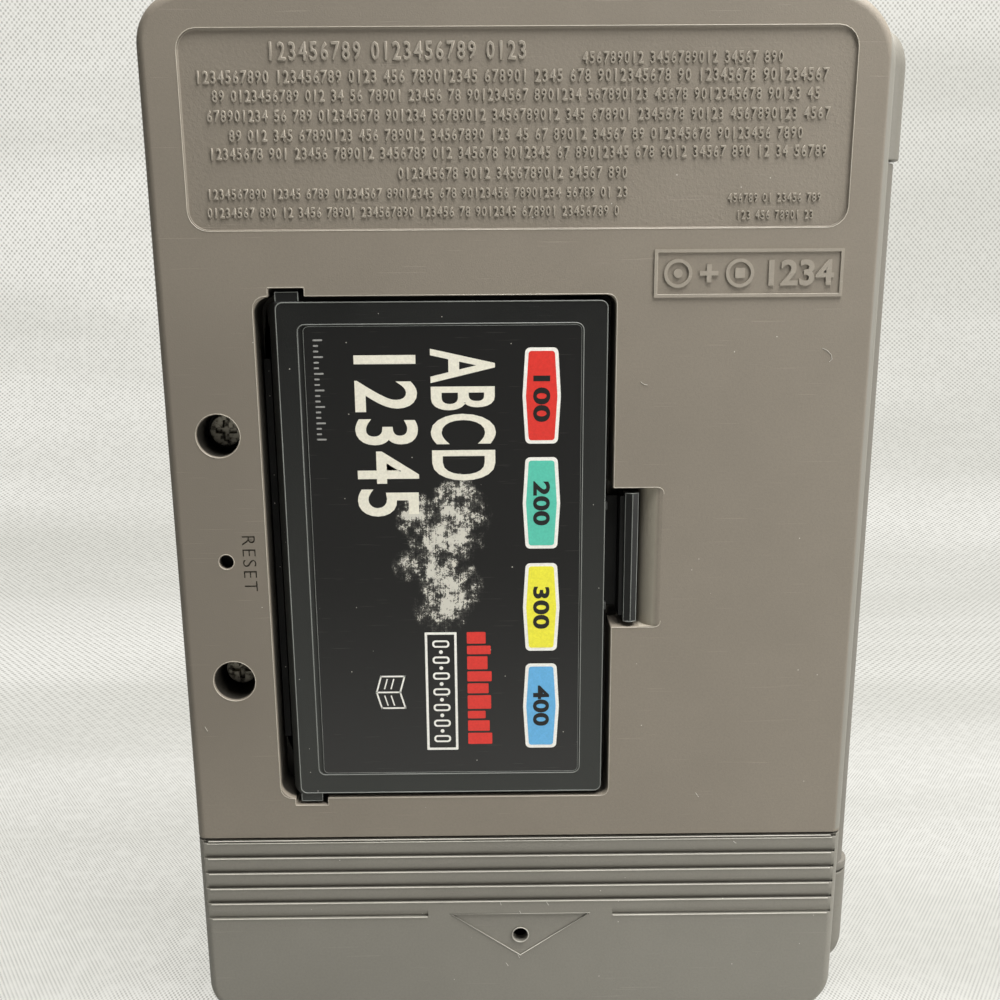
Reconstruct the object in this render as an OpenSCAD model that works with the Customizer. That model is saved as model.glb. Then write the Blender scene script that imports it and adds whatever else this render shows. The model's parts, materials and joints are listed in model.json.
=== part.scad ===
// Handheld electronic dictionary with a flip lid, a keyboard, a display and a plug-in book card.
// Built lying on its lid: x runs across it, y along it, and z from the lid's face to the back.
// The hinge is along the +x side. The last step stands it on its battery end, back towards -Y.

/* [Case] */
// Width of the case, across the hinge
case_w = 82.6; // [80:0.2:88]
// Length of the case, along the hinge
case_l = 127; // [124:0.5:134]
// Corner radius at the far end of the hinge side
corner_hinge = 8; // [6:0.1:9]
// Corner radius at the far end of the opening side
corner_far = 5.5; // [4:0.1:8]
// Corner radius at the battery end
corner_near = 5.2; // [4:0.1:8]
// Thickness of the side walls
case_wall = 1.6; // [1.4:0.1:1.8]
// Thickness of the front and back plates
plate_t = 1.4; // [1.2:0.1:1.8]
// Rounding of the case's outer edges
edge_r = 1.2; // [0.8:0.1:1.4]
// Thickness of the closed lid
lid_t = 3.9; // [3.6:0.1:4.6]
// Thickness of the lid's face
lid_plate = 1.4; // [1.2:0.1:1.6]
// Gap between the closed lid and the case
lid_gap = 0.3; // [0.2:0.05:0.5]

/* [Hinge] */
// Radius of the lid's hinge ears
ear_r = 2.6; // [2.4:0.05:2.8]
// Length of each ear, with its tapered end
ear_l = 14.3; // [10:0.5:16]
// Length of the tapered end of each ear
ear_taper = 4.2; // [2.6:0.1:5]
// Distance from the case's end to each ear's tip
ear_end = 3.2; // [3:0.1:8]
// How far the hinge axis lies outside the case wall
hinge_out = 0.8; // [0.7:0.05:1]
// Gap around the ears
ear_gap = 0.3; // [0.25:0.05:0.4]
// Radius of the spine between the ears
spine_r = 2.9; // [2.6:0.05:3]
// Radius of the hinge pins
pin_r = 0.8; // [0.6:0.05:1]
// Running clearance of the pins in the ears
pin_play = 0.05; // [0.02:0.01:0.08]
// Depth of each pin in the ear and in the spine
pin_grip = 6; // [4:0.5:7]

/* [Book card] */
// Width of the card
card_w = 37.95; // [34:0.05:39]
// Length of the card
card_l = 61.2; // [58:0.1:64]
// Distance from the case's opening side to the card
card_side = 13.55; // [13.4:0.05:14]
// Distance from the battery door's seam to the card
card_end = 6.2; // [5:0.1:8]
// Width of the sloping shoulder at the card's connector side
shoulder_w = 0.9; // [0.5:0.05:1]
// Depth of the sloping shoulder
shoulder_h = 1.1; // [0.6:0.05:1.4]
// Gap at the connector side of the card
bay_gap_left = 2.45; // [2:0.05:2.8]
// Gap at the latch side of the card
bay_gap_right = 0.9; // [0.6:0.05:1.1]
// Gap at each end of the card
bay_gap_end = 0.6; // [0.3:0.05:1]
// Width of the tabs at the card's connector side
tab_w = 2.7; // [2:0.1:3]
// How far the tabs stand out of the card's ends
tab_out = 1.2; // [0.8:0.1:1.6]
// Width of the label
label_w = 32; // [28:0.5:33]
// Length of the label
label_l = 55.8; // [50:0.2:57]
// Gap beside the label, towards the connector
label_gap = 0.45; // [0.1:0.05:0.6]
// Thickness of the label
label_t = 0.12; // [0.08:0.01:0.15]
// Length of the latch finger
latch_l = 16.1; // [12:0.1:16.5]
// Width of the latch finger's head
latch_w = 1.6; // [1.2:0.1:1.8]
// Length of the finger scoop
scoop_l = 17.3; // [17:0.1:20]
// How far the finger scoop reaches past the bay
scoop_out = 5.95; // [5.5:0.05:6.5]

/* [Power] */
// Diameter of a coin cell
cell_d = 20; // [18:0.1:20.4]
// Thickness of a coin cell
cell_t = 3.2; // [2.8:0.05:3.6]
// Distance from the cells' compartment to the door's seam
door_end = 2.6; // [2.5:0.1:4]
// Gap around the battery door
door_gap = 0.25; // [0.2:0.05:0.3]
// Distance between the door's grip grooves
groove_pitch = 2.19; // [1.9:0.01:2.3]
// Width of a grip groove
groove_w = 1.2; // [0.8:0.05:1.5]
// Depth of a grip groove
groove_depth = 0.4; // [0.2:0.05:0.5]
// Diameter of the release hole in the door
door_hole_d = 2; // [1.5:0.1:2.5]

/* [Screws and reset] */
// Distance of each screw from the card's middle, along the case
screw_y = 15.3; // [13:0.1:17]
// Distance of the screws and the reset hole from the opening side
screw_side = 6.15; // [6:0.05:6.3]
// Diameter of the screw wells
well_d = 5; // [4.6:0.1:5.2]
// Diameter of a screw head
head_d = 3.8; // [3:0.1:4.2]
// Height of a screw head
head_t = 1.5; // [1:0.1:1.8]
// Diameter of a screw's shank
shank_d = 2; // [1.6:0.1:2.2]
// Diameter of the reset hole
reset_d = 1.7; // [1.2:0.1:2]

/* [Keyboard] */
// Distance from the case's end to the keyboard
keyboard_end = 7; // [6:0.1:10]
// Distance from the opening side to the lowest key row
keyboard_side = 12.9; // [12.5:0.1:15]
// Space between two keys of a row
key_space = 2.9; // [2:0.1:3.5]
// Space between two key rows
row_space = 2.7; // [2:0.1:3.2]
// Distance from the top key row to the display window
display_space = 6.5; // [6:0.1:8]
// Clearance around a key in its hole
key_gap = 0.25; // [0.15:0.05:0.35]
// How far the keys stand proud of the case
key_proud = 1.1; // [0.8:0.1:1.5]
// Key travel
key_travel = 0.6; // [0.4:0.05:0.7]
// Flange around each key, under the plate
flange = 0.5; // [0.4:0.05:0.6]
// Thickness of the key flanges
flange_t = 0.6; // [0.4:0.05:0.7]

/* [Display] */
// Distance from the hinge side to the display window
lens_side = 4.8; // [4.7:0.1:6]
// Width of the display window, across the case
lens_w = 26; // [22:0.5:27]
// Distance from the case's end to the display window
lens_end = 16.5; // [16:0.5:24]
// Thickness of the display window
lens_t = 0.9; // [0.7:0.05:1]
// Ledge that carries the display window
lens_ledge = 2.5; // [1.5:0.1:3]
// Thickness of the display's glass
glass_t = 2.05; // [1.6:0.05:2.2]

/* [Circuit boards] */
// Depth from the front plate to the main board
board_depth = 2.7; // [2.65:0.05:3.2]
// Thickness of the main board
board_t = 0.9; // [0.8:0.05:1.2]
// Thickness of the key mat
mat_t = 0.7; // [0.5:0.05:0.7]
// Number of spring pins in the card socket
pin_count = 24; // [12:1:28]

/* [Hidden] */
$fn = 48;
seam = 0.2;
seat = 0.05;
weld = 0.1;

// Levels, from the lid's face towards the back
front_z = lid_t + lid_gap;
plate_z = front_z + plate_t;
flange_z = plate_z + seat;
board_z = plate_z + board_depth;
board_back_z = board_z + board_t;
floor_t = 0.8;
floor_z = board_back_z + seam;
bay_z = floor_z + floor_t;
tub_floor_t = 0.6;
tub_z = floor_z + tub_floor_t;
cell_z = tub_z + 0.1;
shelf_z = cell_z + cell_t;
back_plate_z = shelf_z + 0.3;
back_z = back_plate_z + plate_t;
inside_z = back_z - plate_t / 2;
hinge_z = (back_z - seam) / 2;
split_z = hinge_z + ear_r + ear_gap + 0.1;
card_z = bay_z + 0.15;
card_top_z = back_z - 0.1;
stem_z = board_z - key_travel - 0.1;

// Corner radii, from the far hinge corner round to the battery end
corners = [corner_hinge, corner_far, corner_near, corner_near];

// Hinge
hinge_x = case_w / 2 + hinge_out;
spine_x = case_w / 2 - 0.1;
ear_y = case_l / 2 - ear_end - ear_l;
ear_web = 1.4;
ear_bank = 1.5;
knuckle_l = 1.2;
thumb_r = 2.4;
thumb_l = 22;
lid_margin = 12;
lid_recess = 0.25;

// Battery door's length and seam, and the card's place beside it
core_in = case_wall + 0.3;
core_wall = 1.3;
cell_play = 0.3;
cell_spring = 0.6;
door_l = core_in + core_wall + cell_play + cell_d + cell_spring + door_end;
seam_y = -case_l / 2 + door_l;
card_y = seam_y + card_end + card_l / 2;

// Card and its bay
card_x0 = -case_w / 2 + card_side;
card_x1 = card_x0 + card_w;
card_x = (card_x0 + card_x1) / 2;
bay_x0 = card_x0 - bay_gap_left;
bay_x1 = card_x1 + bay_gap_right;
bay_y = card_l / 2 + bay_gap_end;
bay_corner = 2;
tub_wall = 1;
tab_play = 0.65;
tab_end_play = 0.35;
card_mid_z = card_z + 2;
card_wall = 1.2;
card_plate = 0.6;
card_corner = 0.8;
card_board_z = card_z + card_plate + 0.02;
card_board_t = 0.8;
label_recess = 0.15;
label_play = 0.1;
label_x = card_x + 0.05;
scoop_x1 = bay_x1 + scoop_out;
scoop_y = scoop_l / 2;
scoop_corner = 0.85;
ramp_foot = bay_x1 + 2;
latch_x1 = card_x1 + 4;
latch_x0 = latch_x1 - latch_w;
latch_wall = 0.6;
latch_foot_z = card_z + 0.2;
latch_foot_t = 0.8;
latch_head_z = back_z - 2;
nub_y = 6.3;
nub_out = 0.4;
tab_t = 1.2;

// Card socket and the spring pins
socket_x0 = bay_x0 + 0.3;
socket_w = 8.6;
socket_x1 = socket_x0 + socket_w;
socket_l = 48;
socket_z = bay_z + 0.05;
socket_stop = 0.85;
socket_h = 2;
contact_x0 = socket_x1 - 5;
contact_l = 4.2;
contact_pitch = (socket_l - 3) / pin_count;
contact_w = 0.7;
contact_t = 0.25;

// Battery end
end_wall = 1.4;
shelf_t = 1.2;
ledge_z = split_z + 0.6;
skirt_z = ledge_z + seam;
cell_y = -case_l / 2 + core_in + core_wall + cell_play + cell_d / 2;
cell_x = cell_d / 2 + cell_spring;
tub_x = cell_x + cell_d / 2 + cell_spring;
tub_y0 = cell_y - cell_d / 2 - cell_play;
tub_y1 = cell_y + cell_d / 2 + cell_spring;
leaf_l = 10;
leaf_w = 3;
side_leaf_t = 0.4;
lip = 0.7;
lip_t = 0.7;
lip_end = 3;
lip_l = door_l - 10;
lip_in = case_wall + lip - core_in + 0.05;
groove_count = 6;
groove_y = seam_y - 0.65;
groove_gap = 12;
groove_end = edge_r - 0.5;
groove_points = concat(
  [for (t = [0:0.25:1]) [groove_w * t, -groove_depth * pow(1 - t, 2)]],
  [[groove_w, 1], [0, 1]]);
mark_w = 9.05;
mark_y = seam_y - 11.3;
mark_h = 6.2;
mark_depth = 0.12;
door_hole_y = mark_y - 3.15;

// Text panel on the back
panel_w = case_w - 9.1;
panel_l = 21;
panel_y1 = case_l / 2 - 4;
panel_y0 = panel_y1 - panel_l;
panel_r = 2.2;
panel_depth = 0.25;

// Screws and reset switch
screw_x = case_w / 2 - screw_side;
well_floor_z = split_z - 0.9;
well_wall = 1;
boss_r = 2.4;
boss_end_z = well_floor_z - 1;
shank_l = 3.7;
thread_play = 0.02;
switch_w = 4;
button_r = 1.1;
button_z0 = board_back_z + 1.6;
button_z1 = back_plate_z - 0.7;

// Display
lens_x1 = case_w / 2 - lens_side;
lens_x = lens_x1 - lens_w / 2;
lens_l = case_l - 2 * lens_end;
lens_z = front_z + seat;
glass_z = plate_z + seat;
glass_edge = 1.5;
glass_w = lens_w - 2 * lens_ledge + 2 * glass_edge;
glass_l = lens_l - 2 * lens_ledge + 2 * glass_edge;
zebra_w = 1.6;

// Board outline
board_x0 = -case_w / 2 + case_wall + 1.2;
board_x1 = hinge_x - ear_r - ear_gap - 2.1;
board_y1 = case_l / 2 - case_wall - 1.9;

// Parts on the board: width, length, height, and place along the board from the card's middle
memory_chips = [[12, 16, 2.2, -22], [8, 12, 1.6, 24]];
memory_x = board_x1 - 9;
driver_r = 5;
driver_y = board_y1 - 9;
driver_h = 1.2;
capacitor_r = 2.5;
capacitor_h = 3.6;
capacitor_pitch = 10;
crystal_r = 1;
crystal_l = 7;
crystal_x = memory_x - 34;
resistor = [2, 1.2, 0.6];
resistor_pitch = 4;
resistor_x = memory_x - 60;

// Rows of keys, seen with the hinge at the top: name, place and length of each key
column_count = 10;
key_pitch = (case_l - 2 * keyboard_end) / column_count;
top_row = lens_x1 - lens_w - display_space;
row_pitch = (top_row + case_w / 2 - keyboard_side) / 4;
key_l = key_pitch - key_space;
key_w = row_pitch - row_space;
letter_rows = ["qwertyuiop", "asdfghjkl", "zxcvbnm"];
row_start = [0, 0.5, 0.5];
top_names = ["on_off", "clear", "menu", "red", "green", "yellow", "blue"];
wide_pitch = column_count * key_pitch / len(top_names);
wide_l = wide_pitch - 2 * key_space;
space_l = 4 * key_pitch + key_l;
key_row_x = [for (i = [0:4]) top_row - i * row_pitch];
function column_y(c) = (c - (column_count - 1) / 2) * key_pitch;
keys = concat(
  [for (i = [0:6]) [top_names[i], key_row_x[0], (i - 3) * wide_pitch, wide_l]],
  [for (r = [0:2]) for (i = [0:len(letter_rows[r]) - 1])
    [letter_rows[r][i], key_row_x[r + 1], column_y(i + row_start[r]), key_l]],
  [["up", key_row_x[3], column_y(8), key_l],
   ["enter", key_row_x[3], column_y(9), key_l],
   ["space", key_row_x[4], column_y(3.5), space_l],
   ["down", key_row_x[4], column_y(8), key_l],
   ["back", key_row_x[4], column_y(9), key_l]]);

// Colours
case_c = [0.50, 0.47, 0.43];
card_c = [0.12, 0.12, 0.12];
key_c = [0.23, 0.23, 0.24];

function inset_corners(d) = [for (r = corners) max(r - d, 0.3)];

// A quarter of a plate with one round corner, in the first quadrant
module quadrant2d(hw, hl, r) {
  square([hw - r, hl]);
  square([hw, hl - r]);
  translate([hw - r, hl - r]) circle(r);
}

// Puts something made for the first quadrant into quadrant i
module in_quadrant(i) {
  mirror([i == 1 || i == 2 ? 1 : 0, 0, 0]) mirror([0, i > 1 ? 1 : 0, 0]) children();
}

module plate2d(w, l, radii) {
  for (i = [0:3]) in_quadrant(i) quadrant2d(w / 2, l / 2, radii[i]);
}

module round2d(w, l, r) {
  plate2d(w, l, [r, r, r, r]);
}

// The case's outline, moved in by d
module case2d(d = 0) {
  plate2d(case_w - 2 * d, case_l - 2 * d, inset_corners(d));
}

module stadium2d(w, l) {
  translate([-w / 2, -(l - w) / 2]) square([w, l - w]);
  for (s = [-1, 1]) translate([0, s * (l - w) / 2]) circle(d = w);
}

module quarter2d(r) {
  intersection() {
    circle(r);
    square(r);
  }
}

// The section of a quarter-round rim, with a little of the plate behind it and below it
module rim2d(e) {
  quarter2d(e);
  translate([-weld, -weld]) square([weld, e + weld]);
  translate([-weld, -weld]) square([e + weld / 2, weld]);
}

// A layer of height e on the case's outline, with a quarter-round outer edge
module rounded_layer(e) {
  translate([0, 0, -weld]) linear_extrude(e + weld) case2d(e);
  for (i = [0:3]) {
    hw = case_w / 2;
    hl = case_l / 2;
    r = corners[i];
    in_quadrant(i) {
      translate([hw - e, hl - r, 0]) rotate([90, 0, 0]) linear_extrude(hl - r) rim2d(e);
      translate([0, hl - e, 0]) rotate([90, 0, 90]) linear_extrude(hw - r) rim2d(e);
      translate([hw - r, hl - r, 0])
        rotate_extrude(angle = 90) translate([r - e, 0]) rim2d(e);
    }
  }
}

// A slab on the case's outline from z0 to z1, with its edge rounded at z1
module slab(z0, z1) {
  translate([0, 0, z0]) linear_extrude(z1 - z0 - edge_r) case2d();
  translate([0, 0, z1 - edge_r]) rounded_layer(edge_r);
}

module block(x0, x1, y0, y1, z0, z1) {
  translate([x0, y0, z0]) cube([x1 - x0, y1 - y0, z1 - z0]);
}

// Everything on the battery side of y
module battery_side(y, z0, z1) {
  block(-case_w, case_w, -case_l, y, z0, z1);
}

// A bar along y with its middle at y
module rod(x, y, z, r, l) {
  translate([x, y + l / 2, z]) rotate([90, 0, 0]) cylinder(h = l, r = r);
}

module at_card() {
  translate([0, card_y, 0]) children();
}

module at_screws() {
  for (s = [-1, 1]) translate([-screw_x, card_y + s * screw_y, 0]) children();
}

// Stands the flat model on its battery end, with the back towards -Y
module stand() {
  translate([0, back_z / 2, case_l / 2]) rotate([90, 0, 0]) children();
}

// The bay's outline, widened by d, with a notch at each end for the card's tabs
module bay2d(d = 0) {
  w = bay_x1 - bay_x0;
  notch_w = tab_w + 2 * tab_play;
  notch_y = card_l / 2 + tab_out + tab_end_play;
  translate([(bay_x0 + bay_x1) / 2, 0])
    plate2d(w + 2 * d, 2 * (bay_y + d), [1.2, bay_corner, bay_corner, 1.2]);
  translate([card_x0 - tab_play - d, -notch_y - d]) square([notch_w + 2 * d, 2 * (notch_y + d)]);
}

// The scoop beside the latch: a deep pocket for the finger's foot, and a ramp that leaves
// the face gently and drops ever faster towards the pocket
module scoop() {
  intersection() {
    translate([0, scoop_y, 0]) rotate([90, 0, 0]) linear_extrude(scoop_l)
      polygon(concat(
        [for (t = [0:0.1:1])
          [scoop_x1 + (ramp_foot - scoop_x1) * t, back_z - (back_z - bay_z) * t * t]],
        [[bay_x1 - 1, bay_z], [bay_x1 - 1, back_z + 1], [scoop_x1, back_z + 1]]));
    translate([bay_x1, 0, bay_z - 1]) linear_extrude(back_z)
      round2d(2 * scoop_out, scoop_l, scoop_corner);
  }
}

module rear_shell() {
  difference() {
    slab(split_z, back_z);
    translate([0, 0, split_z - 1]) linear_extrude(back_plate_z - split_z + 1) case2d(case_wall);
    battery_side(seam_y, split_z - 1, back_z + 1);
  }
}

// What the battery door slides over
module battery_core() {
  difference() {
    union() {
      intersection() {
        translate([0, 0, split_z]) linear_extrude(ledge_z - split_z) case2d();
        battery_side(seam_y, split_z - 1, back_z);
      }
      intersection() {
        translate([0, 0, split_z]) linear_extrude(shelf_z - split_z) case2d(core_in);
        battery_side(seam_y + end_wall, split_z - 1, back_z);
      }
      block(-case_w / 2 + core_in, case_w / 2 - core_in, seam_y, seam_y + end_wall,
            shelf_z - 1, inside_z);
    }
    translate([0, 0, split_z - 1]) linear_extrude(shelf_z - shelf_t - split_z + 1)
      intersection() {
        case2d(core_in + core_wall);
        translate([-case_w, -case_l]) square([2 * case_w, case_l + seam_y - 0.01]);
      }
    translate([0, 0, split_z - 1]) linear_extrude(shelf_z - shelf_t - split_z + 1)
      translate([-case_w / 2 + core_in + core_wall, seam_y - 1])
        square([case_w - 2 * core_in - 2 * core_wall, 3]);
    for (s = [-1, 1])
      translate([s * (case_w / 2 - core_in), 0, 0])
        block(-lip_in, lip_in, -case_l, seam_y - lip_end + 0.8,
              ledge_z, skirt_z + lip_t + door_gap);
  }
}

module rear_case() {
  color(case_c) stand() difference() {
    union() {
      rear_shell();
      battery_core();
      at_card() {
        translate([0, 0, floor_z]) linear_extrude(inside_z - floor_z) bay2d(tub_wall);
        block(bay_x1, scoop_x1 + tub_wall, -scoop_y - tub_wall, scoop_y + tub_wall,
              floor_z, inside_z);
      }
      at_screws() translate([0, 0, well_floor_z - 1])
        cylinder(h = inside_z - well_floor_z + 1, d = well_d + 2 * well_wall);
      block(-tub_x - tub_wall, tub_x + tub_wall, tub_y0 - tub_wall, tub_y1 + tub_wall,
            floor_z, shelf_z);
    }
    at_card() {
      translate([0, 0, bay_z]) linear_extrude(back_z) bay2d();
      scoop();
      block(socket_x0 - seam, socket_x1 + seam, -socket_l / 2 - seam, socket_l / 2 + seam,
            floor_z - 1, bay_z + 1);
    }
    at_screws() translate([0, 0, well_floor_z]) cylinder(h = back_z, d = well_d);
    at_screws() cylinder(h = back_z, d = shank_d + 0.4);
    translate([-screw_x, card_y, back_plate_z - 1]) cylinder(h = plate_t + 2, d = reset_d);
    block(-tub_x, tub_x, tub_y0, tub_y1, tub_z, back_z);
    translate([0, (panel_y0 + panel_y1) / 2, back_z - panel_depth])
      linear_extrude(1) round2d(panel_w, panel_l, panel_r);
  }
}

module battery_door() {
  door_y = seam_y - door_gap;
  color([0.46, 0.44, 0.41]) stand() difference() {
    union() {
      difference() {
        intersection() {
          slab(split_z, back_z);
          battery_side(door_y, skirt_z, back_z + 1);
        }
        translate([0, 0, split_z]) linear_extrude(back_plate_z - split_z) case2d(case_wall);
      }
      for (s = [-1, 1])
        block(s > 0 ? case_w / 2 - case_wall - lip : -case_w / 2 + case_wall - 0.2,
              s > 0 ? case_w / 2 - case_wall + 0.2 : -case_w / 2 + case_wall + lip,
              door_y - lip_end - lip_l, door_y - lip_end, skirt_z, skirt_z + lip_t);
    }
    for (i = [0:groove_count - 1])
      grip_groove(groove_y - i * groove_pitch, i < groove_count - 1 ? 0 : groove_gap);
    translate([0, mark_y, back_z - mark_depth]) linear_extrude(1)
      polygon([[-mark_w, 0], [0, -mark_h], [mark_w, 0]]);
    translate([0, door_hole_y, back_plate_z - 1]) cylinder(h = plate_t + 2, d = door_hole_d);
  }
}

// One groove across the door, or two with the given half gap between them: its lower side
// is a step at y, and its other side rises to the face in a curve
module grip_groove(y, gap) {
  end = case_w / 2 - groove_end;
  for (s = gap == 0 ? [[-end, end]] : [[-end, -gap], [gap, end]])
    translate([s[0], y, back_z]) rotate([90, 0, 90])
      linear_extrude(s[1] - s[0]) polygon(groove_points);
}

module key_outline(k, d) {
  translate([k[1], k[2]]) stadium2d(key_w + 2 * d, k[3] + 2 * d);
}

module front_case() {
  color(case_c) stand() difference() {
    union() {
      difference() {
        translate([0, 0, front_z]) linear_extrude(split_z - front_z) case2d();
        translate([0, 0, plate_z]) linear_extrude(split_z) case2d(case_wall);
      }
      rod(spine_x, 0, hinge_z, spine_r, 2 * (ear_y - ear_gap));
      rod(hinge_x, knuckle_l / 2 - ear_y + ear_gap, hinge_z, ear_r, knuckle_l);
      for (s = [-1, 1]) mirror([0, s > 0 ? 0 : 1, 0])
        intersection() {
          block(hinge_x - ear_r - ear_gap - ear_bank, case_w / 2, ear_y - 2, case_l / 2,
                plate_z - 0.5, split_z);
          translate([0, 0, front_z]) linear_extrude(split_z) case2d(0.5);
        }
      at_screws() translate([0, 0, plate_z - 0.5])
        cylinder(h = boss_end_z - plate_z + 0.5, r = boss_r);
    }
    for (k = keys)
      translate([0, 0, front_z - 1]) linear_extrude(plate_t + 2) key_outline(k, key_gap);
    translate([lens_x, 0, front_z - 1]) linear_extrude(lens_t + seat + 1.05)
      round2d(lens_w + 0.2, lens_l + 0.2, 2);
    translate([lens_x, 0, front_z - 1]) linear_extrude(plate_t + 2)
      round2d(lens_w - 2 * lens_ledge, lens_l - 2 * lens_ledge, 1);
    at_screws() translate([0, 0, plate_z])
      cylinder(h = back_z, d = shank_d + 2 * thread_play);
    for (s = [-1, 1]) mirror([0, s > 0 ? 0 : 1, 0]) {
      ear_pocket();
      rod(hinge_x, ear_y - ear_gap - pin_grip / 2, hinge_z, pin_r + thread_play, pin_grip + 0.5);
    }
    rod(-case_w / 2 - thumb_r / 2, 0, front_z - 0.4, thumb_r, thumb_l);
  }
}

// Room in the front case for one ear, closed or open
module ear_pocket() {
  rod(hinge_x, ear_y - ear_gap + 10, hinge_z, ear_r + ear_gap, 20);
  block(hinge_x - ear_r, hinge_x + ear_r, ear_y - ear_gap, case_l, front_z - 1, hinge_z);
}

module lid() {
  color(case_c) stand() difference() {
    union() {
      difference() {
        translate([0, 0, lid_t]) mirror([0, 0, 1]) slab(0, lid_t);
        translate([0, 0, lid_plate]) linear_extrude(lid_t) case2d(case_wall);
      }
      for (s = [-1, 1]) mirror([0, s > 0 ? 0 : 1, 0]) ear();
    }
    for (s = [-1, 1]) mirror([0, s > 0 ? 0 : 1, 0])
      rod(hinge_x, ear_y + (pin_grip + 4) / 2, hinge_z, pin_r + pin_play, pin_grip + 4.4);
    translate([0, 0, -1]) linear_extrude(1 + lid_recess)
      round2d(case_w - 2 * lid_margin, case_l - 2 * lid_margin, 4);
  }
}

module ear() {
  straight = ear_l - ear_taper;
  rod(hinge_x, ear_y + straight / 2, hinge_z, ear_r, straight);
  translate([hinge_x, ear_y + straight, hinge_z]) rotate([-90, 0, 0])
    rotate_extrude() polygon(concat([[0, 0]],
      [for (a = [0:9:90]) [ear_r * cos(a), ear_taper * sin(a)]]));
  block(case_w / 2 - ear_web, hinge_x + 0.3, ear_y, ear_y + straight, edge_r, hinge_z - 0.9);
}

module hinge_pins() {
  color([0.72, 0.72, 0.73]) stand()
    for (s = [-1, 1])
      rod(hinge_x, s * (ear_y + 2), hinge_z, pin_r, 2 * pin_grip + 3.6);
}

module case_screws() {
  color([0.45, 0.44, 0.42]) stand() at_screws() difference() {
    union() {
      translate([0, 0, well_floor_z]) cylinder(h = head_t, d = head_d);
      translate([0, 0, well_floor_z - shank_l]) cylinder(h = shank_l, d = shank_d);
    }
    for (a = [0, 90]) rotate(a)
      translate([-head_d / 3, -0.3, well_floor_z + head_t - 0.7]) cube([head_d / 1.5, 0.6, 1]);
  }
}

module display_lens() {
  color([0.25, 0.27, 0.28]) stand() translate([lens_x, 0, lens_z])
    linear_extrude(lens_t) round2d(lens_w, lens_l, 1.9);
}

module display_glass() {
  color([0.62, 0.66, 0.58]) stand() translate([lens_x - glass_w / 2, -glass_l / 2, glass_z])
    cube([glass_w, glass_l, glass_t]);
}

module zebra_strips() {
  z = glass_z + glass_t;
  color([0.85, 0.6, 0.62]) stand() for (s = [-1, 1])
    translate([lens_x + s * (glass_w / 2 - zebra_w) - zebra_w / 2, -glass_l / 2 + 2, z])
      cube([zebra_w, glass_l - 4, board_z - z]);
}

module main_board() {
  color([0.10, 0.35, 0.20]) stand() difference() {
    translate([(board_x0 + board_x1) / 2, 0, board_z]) linear_extrude(board_t)
      round2d(board_x1 - board_x0, 2 * board_y1, 3);
    at_screws() cylinder(h = back_z, d = well_d + 2 * well_wall + 0.6);
  }
}

module board_components() {
  z = board_back_z;
  color([0.08, 0.08, 0.08]) stand() {
    for (c = memory_chips)
      block(memory_x - c[0] / 2, memory_x + c[0] / 2, card_y + c[3] - c[1] / 2,
            card_y + c[3] + c[1] / 2, z, z + c[2]);
    translate([memory_x - 3, driver_y, z]) cylinder(h = driver_h, r = driver_r);
    for (i = [1:2]) translate([memory_x - 3 - capacitor_pitch * i, driver_y, z])
      cylinder(h = capacitor_h, r = capacitor_r);
    rod(crystal_x, driver_y, z + crystal_r, crystal_r, crystal_l);
    for (i = [0:5]) translate([resistor_x + resistor_pitch * i, driver_y, z]) cube(resistor);
    translate([-screw_x, card_y, 0]) difference() {
      block(-switch_w / 2, switch_w / 2, -switch_w / 2, switch_w / 2, z, button_z1 - 0.7);
      translate([0, 0, button_z0 - 0.5]) cylinder(h = button_z1, r = button_r + seat);
    }
  }
}

module reset_button() {
  color([0.75, 0.72, 0.65]) stand() translate([-screw_x, card_y, button_z0])
    cylinder(h = button_z1 - button_z0, r = button_r);
}

module key_mat() {
  x0 = key_row_x[4] - row_pitch / 2 - 0.5;
  x1 = key_row_x[0] + row_pitch / 2;
  color([0.55, 0.55, 0.55]) stand() difference() {
    translate([(x0 + x1) / 2, 0, board_z - mat_t]) linear_extrude(mat_t)
      round2d(x1 - x0, column_count * key_pitch + 1, 1.5);
    for (k = keys) translate([k[1], k[2], 0]) cylinder(h = back_z, r = 1.35);
    at_screws() cylinder(h = back_z, r = boss_r + seat);
  }
}

module coin_cells() {
  color([0.75, 0.75, 0.76]) stand() for (s = [-1, 1])
    translate([s * cell_x, cell_y, cell_z]) {
      cylinder(h = 0.5, d = cell_d - 2.4);
      translate([0, 0, 0.5]) cylinder(h = cell_t - 0.5, d = cell_d);
    }
}

module battery_contacts() {
  color([0.8, 0.78, 0.7]) stand() for (s = [-1, 1]) {
    block(s * cell_x - leaf_l / 2, s * cell_x + leaf_l / 2, cell_y - leaf_w / 2,
          cell_y + leaf_w / 2, tub_z, cell_z);
    x = s * (cell_x + cell_d / 2 + 0.35);
    block(x - side_leaf_t / 2, x + side_leaf_t / 2, cell_y - leaf_w, cell_y + leaf_w,
          tub_z, shelf_z - 0.4);
  }
}

module card_socket() {
  color([0.06, 0.06, 0.06]) stand() at_card() difference() {
    union() {
      block(socket_x0, socket_x1, -socket_l / 2, socket_l / 2, board_back_z, socket_z);
      block(socket_x0, socket_x0 + socket_stop, -socket_l / 2, socket_l / 2,
            board_back_z, bay_z + socket_h);
    }
    for (i = [0:pin_count - 1]) at_contact(i)
      block(-seat, contact_l + 0.4, -contact_w / 2 - seat, contact_w / 2 + seat,
            socket_z - contact_t - seat, socket_z + 1);
  }
}

module at_contact(i) {
  translate([contact_x0, (i - (pin_count - 1) / 2) * contact_pitch, 0]) children();
}

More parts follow.
